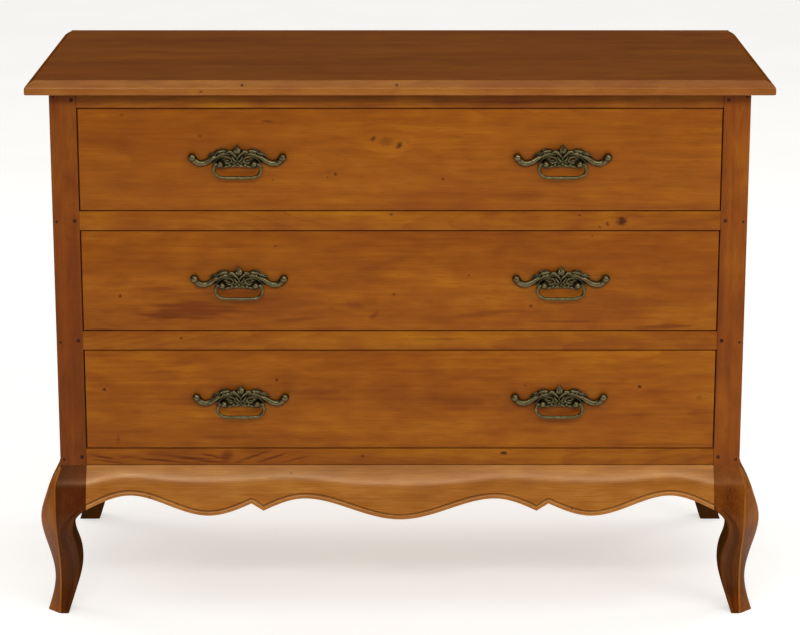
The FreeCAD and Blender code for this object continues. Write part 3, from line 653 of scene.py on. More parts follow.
    def material(self) -> Material:
        """Build the board's material.

        Returns:
            The wood with its marks, stain and lacquer.
        """
        made, shader, place = new_material(self.name)
        tree = made.node_tree
        drawn = []
        for mark in self.marks:
            place, shade = mark.draw(tree, place)
            drawn.append((shade, mark.kind.value.colour))
        start = tuple(self.seed * step for step in self.SEED_STEPS)
        board = add_node(tree, MAPPING, {"Vector": place, "Location": start, "Rotation": self.grain.value})
        fibre = self.noise(tree, board, self.FIBRE_SIZE, 2.0)
        pore = self.noise(tree, board, self.PORE_SIZE, 0.0)
        low, high = self.PORE_LIMITS
        pores = add_node(tree, RANGE, {0: pore, 1: low, 2: high, 3: 0.0, 4: self.PORE_SHADE})
        ramp = add_node(tree, "ShaderNodeValToRGB", {"Fac": self.tone(tree, board, fibre)})
        set_stops(ramp, self.SHADE_PLACES, self.shades)
        colour = ramp
        washes = [*self.clouding(tree, board), (pores, self.shades[0]), *drawn, *self.hollow_shading(tree)]
        for share, wash in washes:
            layers = {0: share, 6: colour, 7: linear(wash)}
            colour = add_node(tree, "ShaderNodeMix", layers, data_type="RGBA").outputs[2]
        smooth, rough = self.roughness - self.GLOSS_SPREAD, self.roughness + self.GLOSS_SPREAD
        relief = add_node(tree, MATH, {0: pores, 1: -1.0, 2: fibre}, operation="MULTIPLY_ADD")
        bump = {"Strength": self.RELIEF_STRENGTH, "Distance": self.RELIEF * MM, "Height": relief}
        feed(shader, {
            "Base Color": colour,
            "Roughness": add_node(tree, RANGE, {0: fibre, 3: smooth, 4: rough}),
            "Normal": add_node(tree, "ShaderNodeBump", bump),
            "Specular IOR Level": self.sheen,
            "Specular Tint": linear(self.gleam),
            "Coat Weight": self.lacquer,
            "Coat Roughness": self.polish,
        })
        return made


@dataclass(frozen=True)
class AntiqueBrass:
    """Cast brass under a dark olive patina, which lies thick in the hollows and is thin on what stands out.

    The eye sees near-black hollows, a dull olive-brown skin, and small pale glints where fingers rub it.
    """

    name: str = "antiqued_cast_brass"
    shades: tuple[str, str, str] = ("1a160b", "352e1c", "746a49")
    hollow: float = 3.5
    mottle: float = 7.0

    SHADE_PLACES = (0.35, 0.78, 1.0)
    PATCH_SHARE = 0.3
    PATCH_START = -0.24
    WEAR_LIMITS = (0.4, 1.0)
    ROUGHNESS = (0.5, 0.25)
    RELIEF = 0.25
    RELIEF_STRENGTH = 0.25

    def material(self) -> Material:
        """Build the brass.

        Returns:
            The brass with its patina.
        """
        made, shader, place = new_material(self.name)
        tree = made.node_tree
        noise = add_node(tree, NOISE, {"Vector": place, "Scale": 1 / (self.mottle * MM), "Detail": 4.0})
        openness = add_node(tree, HOLLOWS, {"Distance": self.hollow * MM}, samples=6).outputs["AO"]
        patchy = {0: noise, 1: self.PATCH_SHARE, 2: self.PATCH_START}
        patch = add_node(tree, MATH, patchy, operation="MULTIPLY_ADD")
        wear = add_node(tree, MATH, {0: openness, 1: patch}, operation="ADD")
        ramp = add_node(tree, "ShaderNodeValToRGB", {"Fac": wear})
        set_stops(ramp, self.SHADE_PLACES, self.shades)
        limits = dict(enumerate((wear, *self.WEAR_LIMITS, *self.ROUGHNESS)))
        bump = {"Strength": self.RELIEF_STRENGTH, "Distance": self.RELIEF * MM, "Height": noise}
        feed(shader, {
            "Base Color": ramp,
            "Roughness": add_node(tree, RANGE, limits),
            "Normal": add_node(tree, "ShaderNodeBump", bump),
            "Metallic": 1.0,
        })
        return made


@dataclass(frozen=True)
class MottledFinish:
    """A finish whose colour wanders between two shades, in patches of a size in millimetres."""

    name: str
    dark: str
    light: str
    patch: float
    detail: float
    roughness: float
    metallic: float = 0.0
    sheen: float = 0.5
    glow: float = 0.0

    def material(self) -> Material:
        """Build the finish.

        Returns:
            The material in its two shades.
        """
        made, shader, place = new_material(self.name)
        tree = made.node_tree
        scale = 1 / (self.patch * MM)
        noise = add_node(tree, NOISE, {"Vector": place, "Scale": scale, "Detail": self.detail})
        both = {0: noise, 6: linear(self.dark), 7: linear(self.light)}
        colour = add_node(tree, "ShaderNodeMix", both, data_type="RGBA").outputs[2]
        feed(shader, {
            "Base Color": colour,
            "Metallic": self.metallic,
            "Roughness": self.roughness,
            "Specular IOR Level": self.sheen,
        })
        if self.glow:
            feed(shader, {"Emission Color": colour, "Emission Strength": self.glow})
        return made


# Zinc-plated steel of the wood screws: a dull grey metal with a faint mottle
ZINC_STEEL = MottledFinish("zinc_plated_steel", "85878a", "a9abad", 2.0, 3.0, 0.42, metallic=1.0)

# Matt background paper, lit from below so that shadows on it stay faint, with the cloudiness of a big sheet
PAPER = MottledFinish("matt_background_paper", "cecdcb", "d4d3d1", 400.0, 2.0, 0.85, sheen=0.2, glow=0.88)


@dataclass
class MouldedTop:
    """The top board, with a moulded edge along its front and both ends."""

    node: str = "top_panel"
    mould_reach: float = 13.0
    mould_drop: float = 9.0
    mould_swell: float = 0.7
    quirk: float = 0.9
    nose_round: float = 4.5
    foot_round: float = 3.0
    steps: int = 7
    end_facing: float = 0.3
    lap: float = 2.0
    edge_round: float = 0.3
    belly_round: float = 0.3
    flat_margin: float = 0.1

    EDGE_MARKS = (
        Mark(KNOT, -231, 822, 7, 5),
        Mark(KNOT, -291, 813, 6, 4, 0.9),
        Mark(KNOT, -5, 822, 7, 5, 0.9),
    )

    def profile(self, thickness: float) -> list[Spot]:
        """Work out the moulded edge from the flat of the top down to the underside.

        Args:
            thickness: The board's thickness in millimetres.

        Returns:
            Reach outwards from the flat and height above the underside, point by point.
        """
        reach = self.mould_reach
        shoulder = thickness - self.quirk
        brow = thickness - self.mould_drop
        slope = Vector((reach, brow - shoulder))
        swell = Vector((-slope.y, slope.x)).normalized() * self.mould_swell
        belly = Vector((0.0, shoulder)) + slope / 2 + swell
        corners = [
            (-self.lap, thickness, 0.0),
            (0.0, thickness, self.edge_round),
            (0.0, shoulder, self.edge_round),
            (belly.x, belly.y, slope.length * self.belly_round),
            (reach, brow, self.nose_round),
            (reach, 0.0, self.foot_round),
            (-self.lap, 0.0, 0.0),
        ]
        return rounded_outline(corners, self.steps)

    def woods(self) -> list[Material]:
        """Make the top's finishes.

        Returns:
            Those of the flat, of the moulded edge and of the ends.
        """
        # The flat is darker than the moulded edge and the fronts: painted shade for the top, which the light
        # reaches less than the front
        flat = Wood(
            "mahogany_top", Grain.ACROSS, seed=71.8, shades=("602f0a", "7b420d", "8d5111"), figure=0.5,
            mottle=0.35, streaks=0.2, clouds=0.3, lacquer=0.0, sheen=0.05,
        )
        edge = Wood(
            "mahogany_moulded_edge", Grain.ACROSS, seed=72.9, shades=("703c0d", "8c5115", "a26822"),
            marks=self.EDGE_MARKS, roughness=0.34, lacquer=0.2,
        )
        ends = Wood(
            "mahogany_end_grain", Grain.ACROSS, seed=73.6, shades=("522809", "6f3a0c", "844a11"), lacquer=0.0,
            sheen=0.0,
        )
        return [wood.material() for wood in (flat, edge, ends)]

    def build(self) -> None:
        """Make the top and put it on the case."""
        low, high = (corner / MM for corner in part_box(self.node))
        half_flat = high.x - self.mould_reach
        front_flat = -low.y - self.mould_reach
        rings = []
        for reach, height in self.profile(high.z - low.z):
            side = half_flat + reach
            front = -front_flat - reach
            outline = ((-side, high.y), (-side, front), (side, front), (side, high.y))
            rings.append([(x, y, low.z + height) for x, y in outline])
        mesh = lofted_mesh("moulded_top", np.array(rings))
        flat_height = (high.z - self.flat_margin) * MM
        for face in mesh.polygons:
            face.material_index = 0 if face.center.z > flat_height else 1
            if abs(face.normal.x) > self.end_facing:
                face.material_index = 2
        finish_piece("moulded_top", mesh, self.woods(), "carcass", [self.node])


@dataclass
class Swell:
    """The swelled face that the legs and the aprons share, and the leg's inner side.

    Each station of the outer face has its height, its reach beyond the post and the place of the arris of the
    canted corner. Each station of the inner side has its height and its depth behind the post's face.
    """

    outer: tuple[tuple[float, float, float], ...] = (
        (0.0, 25.0, 5.0),
        (56.0, 13.0, 4.0),
        (108.0, 23.5, 5.0),
        (155.0, 31.3, 7.0),
        (192.0, 21.2, 8.0),
        (203.0, 17.4, 8.0),
        (214.0, 11.4, 5.0),
        (231.0, 0.0, 0.0),
    )
    inner: tuple[tuple[float, float], ...] = (
        (0.0, 8.5),
        (31.0, 18.5),
        (56.0, 25.5),
        (108.0, 24.5),
        (141.0, 19.0),
        (156.0, 26.0),
        (168.0, 40.0),
    )
    samples: int = 240

    def __post_init__(self) -> None:
        """Sample the three curves once."""
        reaches = [(flare, height) for height, flare, arris in self.outer]
        cants = [(flare + arris, height) for height, flare, arris in self.outer]
        self.reach_curve = smooth_curve(reaches, self.samples)
        self.cant_curve = smooth_curve(cants, self.samples)
        self.depth_curve = smooth_curve([(depth, height) for height, depth in self.inner], self.samples)

    def reach(self, height: float) -> float:
        """How far the face stands out at a height."""
        return float(np.interp(height, self.reach_curve[:, 1], self.reach_curve[:, 0]))

    def cant(self, height: float) -> float:
        """How far out the canted corner cuts at a height, as the sum of both reaches on it."""
        return float(np.interp(height, self.cant_curve[:, 1], self.cant_curve[:, 0]))

    def depth(self, height: float) -> float:
        """How deep the leg's inner side lies at a height."""
        return float(np.interp(height, self.depth_curve[:, 1], self.depth_curve[:, 0]))


class LegFace(IntEnum):
    """The faces of a leg that have woods of their own, as face material numbers."""

    # Copies of one wood in lighter and darker shades, painted by how the light falls: a lit cant, a shaded
    # inside, side and cove, and a painted highlight on the arris
    FRONT = 0
    CANT = 1
    INSIDE = 2
    SIDE = 3
    ARRIS = 4
    COVE = 5


@dataclass
class CabrioleLegs:
    """Four cabriole legs with canted corners, down whose inner edges the apron's bead runs on."""

    swell: Swell
    case_half_width: float
    case_half_depth: float
    sections: int = 116
    arris_round: float = 3.0
    throat: float = 168.0
    bead_rise: float = 8.5
    bead_widths: tuple[Spot, ...] = ((0.0, 3.5), (50.0, 7.0), (110.0, 8.5), (150.0, 7.0), (168.0, 6.0))
    bead_round: float = 4.5
    cove_widths: tuple[Spot, ...] = (
        (0.0, 2.0), (30.0, 7.0), (60.0, 12.0), (115.0, 14.0), (145.0, 8.0), (168.0, 3.0)
    )
    cove_depths: tuple[Spot, ...] = ((0.0, 0.0), (25.0, 0.4), (70.0, 3.0), (140.0, 2.6), (168.0, 1.2))
    thinnest_bead: float = 0.4
    inward: float = -0.4
    arris_turns: Spot = (9.0, 36.0)
    corner_steps: int = 5
    least_corner: float = 0.6
    widest_bead: float = 0.36
    bead_roll: float = 0.45
    groove_roll: float = 0.7
    cove_middle: float = 0.35
    cove_rounds: Spot = (0.3, 0.45)

    TURNS = {("rear", "right"): 0, ("rear", "left"): 90, ("front", "left"): 180, ("front", "right"): 270}

    def bead_at(self, height: float) -> float:
        """Work out how wide the bead lies on the face at a height.

        Args:
            height: Height above the floor in millimetres.

        Returns:
            Its width, level with the floor.
        """
        below = min(height, self.throat)
        slope = self.swell.depth(below) - self.swell.depth(below - 1.0)
        left = 1.0 - max(0.0, height - self.throat) / self.bead_rise
        width = between(below, self.bead_widths)
        return max(self.thinnest_bead, width * math.hypot(1.0, slope) * left)

    def cove_at(self, height: float) -> Spot:
        """How wide and how deep the cove beside the bead is at a height."""
        left = max(0.0, 1.0 - max(0.0, height - self.throat) / self.bead_rise)
        return between(height, self.cove_widths), between(height, self.cove_depths) * left

    def section(self, height: float) -> list[Spot]:
        """Outline a leg at a height, round its post's outer corner, flaring to plus both ways.

        Args:
            height: Height above the floor in millimetres.

        Returns:
            The outline's points.
        """
        reach = self.swell.reach(height)
        depth = self.swell.depth(height)
        arris = min(self.swell.cant(height) - reach, reach - self.least_corner)
        bead = min(self.bead_at(height), (arris + depth) * self.widest_bead)
        cove, sink = self.cove_at(height)
        roll = min(self.bead_round, bead * self.bead_roll)
        inner_round, outer_round = (cove * share for share in self.cove_rounds)
        start = [(reach, -depth, roll), (reach, -depth + bead, roll * self.groove_roll)]
        half = start + [
            (reach - sink, -depth + bead + cove * self.cove_middle, inner_round),
            (reach, -depth + bead + cove, outer_round),
            (reach, arris, self.arris_round),
        ]
        other = [(v, u, round_off) for u, v, round_off in reversed(half)]
        return rounded_outline([(-depth, -depth, self.arris_round), *half, *other], self.corner_steps)

    def face_kind(self, outward: Spot, beyond: Spot, height: float) -> LegFace:
        """Tell which face of a leg a small facet belongs to.

        Args:
            outward: How far its normal points out to the side and out to the front or the back.
            beyond: How far the facet lies beyond the post both ways.
            height: How high it lies.

        Returns:
            The kind of face.
        """
        if min(outward) < self.inward:
            return LegFace.INSIDE
        cove_start = self.bead_at(height) - self.swell.depth(height)
        if 0 < min(beyond) - cove_start < self.cove_at(height)[0] and height < self.throat:
            return LegFace.COVE
        turn = math.degrees(math.atan2(min(outward), max(outward)))
        if turn > self.arris_turns[1]:
            return LegFace.CANT
        if turn > self.arris_turns[0] and min(beyond) > 0:
            return LegFace.ARRIS
        return LegFace.SIDE if outward[0] > outward[1] else LegFace.FRONT

    def build(self, woods: dict[tuple[str, str], list[Material]]) -> None:
        """Make the four legs.

        Args:
            woods: Finishes of each leg's faces in the order of their numbers, by the leg's end and side.
        """
        top = self.swell.outer[-1][0]
        rings = []
        for height in np.linspace(0.0, top, self.sections):
            rings.append([(u, v, height) for u, v in self.section(float(height))])
        for (end, side), turn in self.TURNS.items():
            way = Vector((SIDES[side], 1 if end == "rear" else -1, 0.0))
            corner = Vector((way.x * self.case_half_width, way.y * self.case_half_depth, 0.0))
            spin = Matrix.Rotation(math.radians(turn), 3, "Z")
            turned = [[tuple(spin @ Vector(point) + corner) for point in ring] for ring in rings]
            name = f"{end}_{side}_cabriole_leg"
            mesh = lofted_mesh(name, np.array(turned))
            # Each facet gets its lit or shaded wood by the way that it faces: painted light and shade
            for face in mesh.polygons:
                off = face.center / MM - corner
                outward = (face.normal.x * way.x, face.normal.y * way.y)
                face.material_index = self.face_kind(outward, (off.x * way.x, off.y * way.y), off.z)
            finish_piece(name, mesh, woods[end, side], "carcass", [f"{end}_{side}_leg"])


@dataclass
class ScallopedApron:
    """A swelled apron whose lower edge is scalloped and beaded.

    Its lower edge is given by the smooth runs of its right half, and its ridge by how far the swell is lifted
    along that half, both from the leg to the middle.
    """

    node: str
    swell: Swell
    runs: tuple[tuple[Spot, ...], ...]
    ridge: tuple[Spot, ...]
    turn: float
    place: Spot
    thickness: float = 22.0
    column_pitch: float = 4.0
    fewest_columns: int = 4
    face_rows: int = 30
    bead_width: float = 6.5
    bead_proud: float = 0.5
    groove_width: float = 1.8
    groove_depth: float = 1.0
    bead_steps: int = 7
    ridge_samples: int = 60
    underside: float = -0.5

    def lower_edge(self) -> np.ndarray:
        """Sample the lower edge.

        Returns:
            Place along the apron and height, point by point, from the left end to the right one.
        """
        left = [[(-x, height) for x, height in run] for run in self.runs]
        right = [list(reversed(run)) for run in reversed(self.runs)]
        runs = left[:-1] + [left[-1] + right[0][1:]] + right[1:]
        samples = []
        for run in runs:
            length = sum(math.dist(a, b) for a, b in zip(run, run[1:]))
            count = max(self.fewest_columns, round(length / self.column_pitch))
            samples.extend(smooth_curve(run, count)[1 if samples else 0:])
        return np.array(samples)

    def section(self, edge: float, slope: float, rise: float) -> list[Spot]:
        """Outline the apron across its length.

        Args:
            edge: Height of the lower edge.
            slope: How steeply the lower edge runs here.
            rise: How far the swell is lifted here.

        Returns:
            Reach outwards and height, point by point, from the seam down the face and up the back.
        """
        steepness = math.hypot(1.0, slope)
        bead = self.bead_width * steepness
        groove = self.groove_width * steepness
        top = self.swell.outer[-1][0]

        def reach(height: float) -> float:
            """How far the face stands out here at a height."""
            return self.swell.reach(height - rise) - self.swell.reach(top - rise)

        points = []
        for height in np.linspace(top, edge + bead + groove, self.face_rows):
            points.append((reach(float(height)), float(height)))
        low = edge + bead + groove / 2
        points.append((reach(low) - self.groove_depth, low))
        for step in range(self.bead_steps + 1):
            angle = math.pi * step / self.bead_steps
            height = edge + bead * (1 + math.cos(angle)) / 2
            sink = self.groove_depth * (1 - math.sin(angle))
            points.append((reach(height) + self.bead_proud * math.sin(angle) - sink, height))
        points.append((-self.thickness, edge))
        points.append((-self.thickness, top))
        return points

    def build(self, wood: Material, underside: Material) -> None:
        """Make the apron.

        Args:
            wood: Its finish.
            underside: Finish of its down-facing faces, dark as painted shade under the lower edge.
        """
        edge = self.lower_edge()
        slopes = np.gradient(edge[:, 1], edge[:, 0])
        spin = Matrix.Rotation(math.radians(self.turn), 3, "Z")
        corner = Vector((*self.place, 0.0))
        lifted = smooth_curve(self.ridge[::-1], self.ridge_samples)
        rises = np.maximum(0.0, np.interp(np.abs(edge[:, 0]), lifted[:, 0], lifted[:, 1]))
        rings = []
        for (x, height), slope, rise in zip(edge, slopes, rises):
            outline = self.section(float(height), float(slope), float(rise))
            ring = [Vector((x, reach, level)) for reach, level in outline]
            rings.append([tuple(spin @ point + corner) for point in ring])
        mesh = lofted_mesh(f"scalloped_{self.node}", np.array(rings))
        # Down-facing faces take the dark wood: painted shade under the bead
        for face in mesh.polygons:
            face.material_index = 1 if face.normal.z < self.underside else 0
        finish_piece(f"scalloped_{self.node}", mesh, [wood, underside], "carcass", [self.node])


@dataclass(frozen=True)
class ScrollPath:
    """One bar of scrollwork, by the points that it passes and its half thickness at each of them."""

    points: tuple[Place, ...]
    girths: tuple[float, ...]

    def mirrored(self) -> "ScrollPath":
        """The same bar on the other side of the middle."""
        return ScrollPath(tuple((-x, y, z) for x, y, z in self.points), self.girths)


@dataclass
class ScrollWork:
    """Turns bars of scrollwork into meshes with one node tree."""

    sides: int = 12
    steps: int = 36
    tree: NodeTree = field(init=False)
    inputs: dict[str, str] = field(init=False)

    def __post_init__(self) -> None:
        """Build the node tree: a round bar along each path, as thick as the path's own radius."""
        tree = bpy.data.node_groups.new("scrollwork", "GeometryNodeTree")
        sockets = tree.interface
        sockets.new_socket("Geometry", in_out="INPUT", socket_type="NodeSocketGeometry")
        named = {
            "Steps": "NodeSocketInt",
            "Sides": "NodeSocketInt",
            "Girth": "NodeSocketFloat",
            "Finish": "NodeSocketMaterial",
        }
        self.inputs = {}
        for name, kind in named.items():
            self.inputs[name] = sockets.new_socket(name, in_out="INPUT", socket_type=kind).identifier
        sockets.new_socket("Geometry", in_out="OUTPUT", socket_type="NodeSocketGeometry")
        given = add_node(tree, "NodeGroupInput").outputs
        path = {"Curve": given["Geometry"], "Count": given["Steps"]}
        even = add_node(tree, "GeometryNodeResampleCurve", path)
        radius = add_node(tree, "GeometryNodeInputRadius")
        girth = add_node(tree, MATH, {0: radius, 1: given["Girth"]}, operation="MULTIPLY")
        circle = {"Resolution": given["Sides"], "Radius": 1.0}
        ring = add_node(tree, "GeometryNodeCurvePrimitiveCircle", circle)
        swept = {"Curve": even, "Profile Curve": ring, "Scale": girth, "Fill Caps": True}
        bar = add_node(tree, "GeometryNodeCurveToMesh", swept)
        real = add_node(tree, "GeometryNodeRealizeInstances", {"Geometry": bar})
        finish = {"Geometry": real, "Material": given["Finish"]}
        dressed = add_node(tree, "GeometryNodeSetMaterial", finish)
        add_node(tree, "NodeGroupOutput", {"Geometry": dressed})
        self.tree = tree

    def mesh(self, name: str, paths: Sequence[ScrollPath], finish: Material) -> Mesh:
        """Make bars along paths.

        Args:
            name: The mesh's name.
            paths: The bars, in millimetres.
            finish: Their material.

        Returns:
            The bars as one plain mesh.
        """
        curve = bpy.data.curves.new(name, "CURVE")
        curve.dimensions = "3D"
        for path in paths:
            for knot, girth in zip(add_path(curve, path.points).bezier_points, path.girths):
                knot.radius = girth
        holder = add_object(name, curve)
        modifier = holder.modifiers.new("scrollwork", "NODES")
        modifier.node_group = self.tree
        settings = {"Steps": self.steps, "Sides": self.sides, "Girth": MM, "Finish": finish}
        for key, value in settings.items():
            modifier[self.inputs[key]] = value
        return tidied(taken_mesh(holder))


@dataclass
class Pull:
    """One cast pull: a pierced plate under leaf scrolls, arms that end in balls, a bud, and a hanging bail.

    Places are measured from the middle between its posts, on the face of the drawer, with Y outwards below
    zero and Z up.
    """

    plate_edge: tuple[Spot, ...] = (
        (0, -5.2), (14, -4.8), (26, -7), (35, -1), (38, 6.5), (39.5, 11.6),
        (35, 15.0), (30, 20), (19, 21), (12.5, 17.5), (5, 20.5),
    )
    plate_half: float = 1.2
    plate_bevel: float = 0.8
    hole_place: Spot = (15.0, 6.4)
    hole_size: Spot = (4.2, 2.4)
    hole_points: int = 8
    plate_steps: int = 8
    bevel_steps: int = 2
    arm: ScrollPath = ScrollPath(
        ((27, -3.8, 11), (35, -3.6, 8.4), (42, -3.4, 4.0), (50.5, -3.2, 0.4), (58, -3.4, 0.6),
         (64, -3.8, 5.0), (67, -4.6, 9.4)),
        (3.2, 4.4, 4.8, 4.9, 5.2, 5.8, 6.2),
    )
    ball_place: Place = (67.0, -6.2, 9.6)
    ball_radius: float = 6.5
    curl_place: Place = (11.4, -4.4, -2.6)
    curl_radius: float = 3.0
    bud_place: Place = (0.0, -6.4, 21.2)
    bud_radius: float = 6.2
    bud_height: float = 7.6
    bud_taper: float = 0.66
    bud_point: float = 1.3
    furrow: float = 0.16
    petals: int = 7
    ball_steps: tuple[int, int] = (28, 18)
    bud_steps: tuple[int, int] = (42, 24)
    vein_roots: tuple[float, ...] = (19.0, 23.5, 28.0)
    vein_run: float = 4.5
    vein_bow: float = 1.4
    bail: ScrollPath = ScrollPath(
        ((24.6, -11, 0), (30.5, -11, 0), (34.1, -11, -1.5), (35.2, -11, -5), (34.9, -11, -9.8),
         (32.0, -11, -15.6), (26, -11, -19.2), (18.5, -11, -20.2), (9, -11, -20.4), (0, -11, -20.5)),
        (2.0, 2.2, 2.6, 2.6, 2.5, 2.5, 2.5, 2.5, 2.6, 2.8),
    )

    def leaves(self) -> list[ScrollPath]:
        """Lay out the leaves and the scrolls.

        Returns:
            The strands on the plate's right half.
        """
        upper_wing = ScrollPath(
            ((12, -4.0, 17.0), (19, -4.8, 18.6), (27, -4.8, 17.6), (35, -3.8, 13.6), (46, -2.4, 10.8)),
            (2.2, 2.7, 2.7, 2.1, 0.3),
        )
        wing_prong = ScrollPath(
            ((28, -4.4, 17.0), (35, -3.8, 15.6), (42.5, -2.8, 15.0)),
            (1.8, 1.6, 0.3),
        )
        lower_wing = ScrollPath(
            ((9, -4.4, 13.4), (17, -5.4, 15.0), (25, -5.4, 13.4), (32, -4.8, 9.6), (38, -3.8, 6.2)),
            (1.6, 2.6, 2.8, 2.8, 2.2),
        )
        cheek = ScrollPath(
            ((13, -3.8, 10.6), (20, -4.6, 11.6), (26, -4.6, 9.4), (31, -4.0, 5.0), (33.5, -3.2, 0.6),
             (33, -2.4, -3.4)),
            (1.2, 2.0, 2.2, 2.2, 1.9, 1.0),
        )
        volute = ScrollPath(
            ((23, -3.4, 8.2), (18.5, -4.0, 9.8), (12.6, -4.0, 9.4), (8.8, -3.9, 6.0), (10.6, -4.0, 1.6),
             (16, -4.0, 0.4), (19.8, -3.6, 2.6)),
            (1.0, 1.7, 1.9, 2.0, 2.0, 1.8, 1.0),
        )
        foot = ScrollPath(
            ((1.6, -3.2, -1.6), (6.6, -3.8, -4.2), (12, -4.0, -3.8), (18, -3.8, -5.0), (25.6, -3.4, -5.2),
             (32, -2.8, -2.8)),
            (1.6, 2.1, 1.9, 2.1, 2.1, 1.2),
        )
        petal = ScrollPath(
            ((1.6, -5.4, 9.0), (3.8, -6.8, 13.2), (7.4, -7.6, 16.8), (11.4, -7.6, 18.6), (14.8, -7.0, 17.4),
             (15.4, -6.0, 14.6)),
            (1.6, 2.6, 3.0, 3.0, 2.5, 1.3),
        )
        calyx = ScrollPath(
            ((1.0, -4.2, 2.2), (4.2, -4.8, 5.2), (6.8, -5.0, 9.4), (7.6, -4.8, 13.4)),
            (1.6, 2.0, 2.0, 1.2),
        )
        strands = [upper_wing, wing_prong, lower_wing, cheek, volute, foot, petal, calyx]
        for root in self.vein_roots:
            ahead = root + self.vein_run
            middle = (root + ahead) / 2 + self.vein_bow
            strands.append(ScrollPath(
                ((root, -6.6, 18.4), (middle, -7.2, 15.0), (ahead, -6.6, 10.6)),
                (0.5, 0.9, 0.4),
            ))
        return strands

    def middle_strands(self) -> list[ScrollPath]:
        """Lay out the strands on the pull's middle line.

        Returns:
            A rib under the bud, and a small boss at its foot.
        """
        return [
            ScrollPath(
                ((0, -4.6, 17.0), (0, -5.2, 12.0), (0, -4.8, 6.6), (0, -4.2, 2.6)),
                (1.5, 1.8, 1.6, 1.0),
            ),
            ScrollPath(((0, -3.4, 1.8), (0, -4.4, -0.6), (0, -3.4, -3.2)), (1.4, 2.2, 1.2)),
        ]

    def plate_mesh(self) -> Mesh:
        """Make the pierced plate under the scrolls.

        Returns:
            The plate, with its back on the drawer's face.
        """
        curve = bpy.data.curves.new("pull_plate", "CURVE")
        curve.dimensions = "2D"
        curve.fill_mode = "BOTH"
        curve.extrude = self.plate_half * MM
        curve.bevel_depth = self.plate_bevel * MM
        curve.bevel_resolution = self.bevel_steps
        curve.resolution_u = self.plate_steps
        outlines = [list(self.plate_edge) + [(-x, z) for x, z in reversed(self.plate_edge[1:])]]
        across, up = self.hole_place
        wide, high = self.hole_size
        turns = [2 * math.pi * step / self.hole_points for step in range(self.hole_points)]
        for sign in SIDES.values():
            outlines.append([(sign * across + wide * math.cos(t), up + high * math.sin(t)) for t in turns])
        for outline in outlines:
            add_path(curve, [(x, z, 0.0) for x, z in outline]).use_cyclic_u = True
        mesh = taken_mesh(add_object("pull_plate", curve))
        back = Matrix.Translation((0.0, -(self.plate_half + self.plate_bevel) * MM, 0.0))
        mesh.transform(back @ Euler((math.pi / 2, 0.0, 0.0)).to_matrix().to_4x4())
        return mesh

    def add_balls(self, work: bmesh.types.BMesh) -> None:
        """Add the balls of the arms and the petalled bud.

        Args:
            work: The mesh that gets them.
        """
        balls = ((self.ball_place, self.ball_radius), (self.curl_place, self.curl_radius))
        around, rows = self.ball_steps
        for sign in SIDES.values():
            for (x, y, z), radius in balls:
                place = Matrix.Translation(Vector((sign * x, y, z)) * MM)
                bmesh.ops.create_uvsphere(
                    work, u_segments=around, v_segments=rows, radius=radius * MM, matrix=place
                )
        around, rows = self.bud_steps
        bud = bmesh.ops.create_uvsphere(work, u_segments=around, v_segments=rows, radius=1.0)["verts"]
        centre = Vector(self.bud_place)
        for vert in bud:
            rise = vert.co.z
            turn = math.atan2(vert.co.y, vert.co.x) + math.pi / 2
            taper = 1.0 - self.bud_taper * max(rise, 0.0) ** self.bud_point
            furrow = 1.0 - self.furrow * (0.5 - 0.5 * math.cos(self.petals * turn))
            girth = self.bud_radius * taper * furrow
            vert.co = (centre + Vector((vert.co.x * girth, vert.co.y * girth, rise * self.bud_height))) * MM

    def casting(self, work: ScrollWork, finish: Material) -> Mesh:
        """Make the plate with everything cast on it, in the pull's own frame.

        Args:
            work: The maker of scroll bars.
            finish: The brass.

        Returns:
            The casting.
        """
        right = self.leaves() + [self.arm]
        paths = right + [path.mirrored() for path in right] + self.middle_strands()
        scrolls = work.mesh("pull_scrolls", paths, finish)
        plate = self.plate_mesh()
        joined = bmesh.new()
        joined.from_mesh(scrolls)
        joined.from_mesh(plate)
        self.add_balls(joined)
        mesh = bpy.data.meshes.new("pull_casting")
        joined.to_mesh(mesh)
        joined.free()
        return tidied(mesh)

    def bail_mesh(self, work: ScrollWork, finish: Material) -> Mesh:
        """Make the hanging bail in the pull's own frame.

        Args:
            work: The maker of scroll bars.
            finish: The brass.

        Returns:
            The bail.
        """
        left = self.bail.mirrored()
        points = self.bail.points + left.points[-2::-1]
        girths = self.bail.girths + left.girths[-2::-1]
        return work.mesh("pull_bail", [ScrollPath(points, girths)], finish)


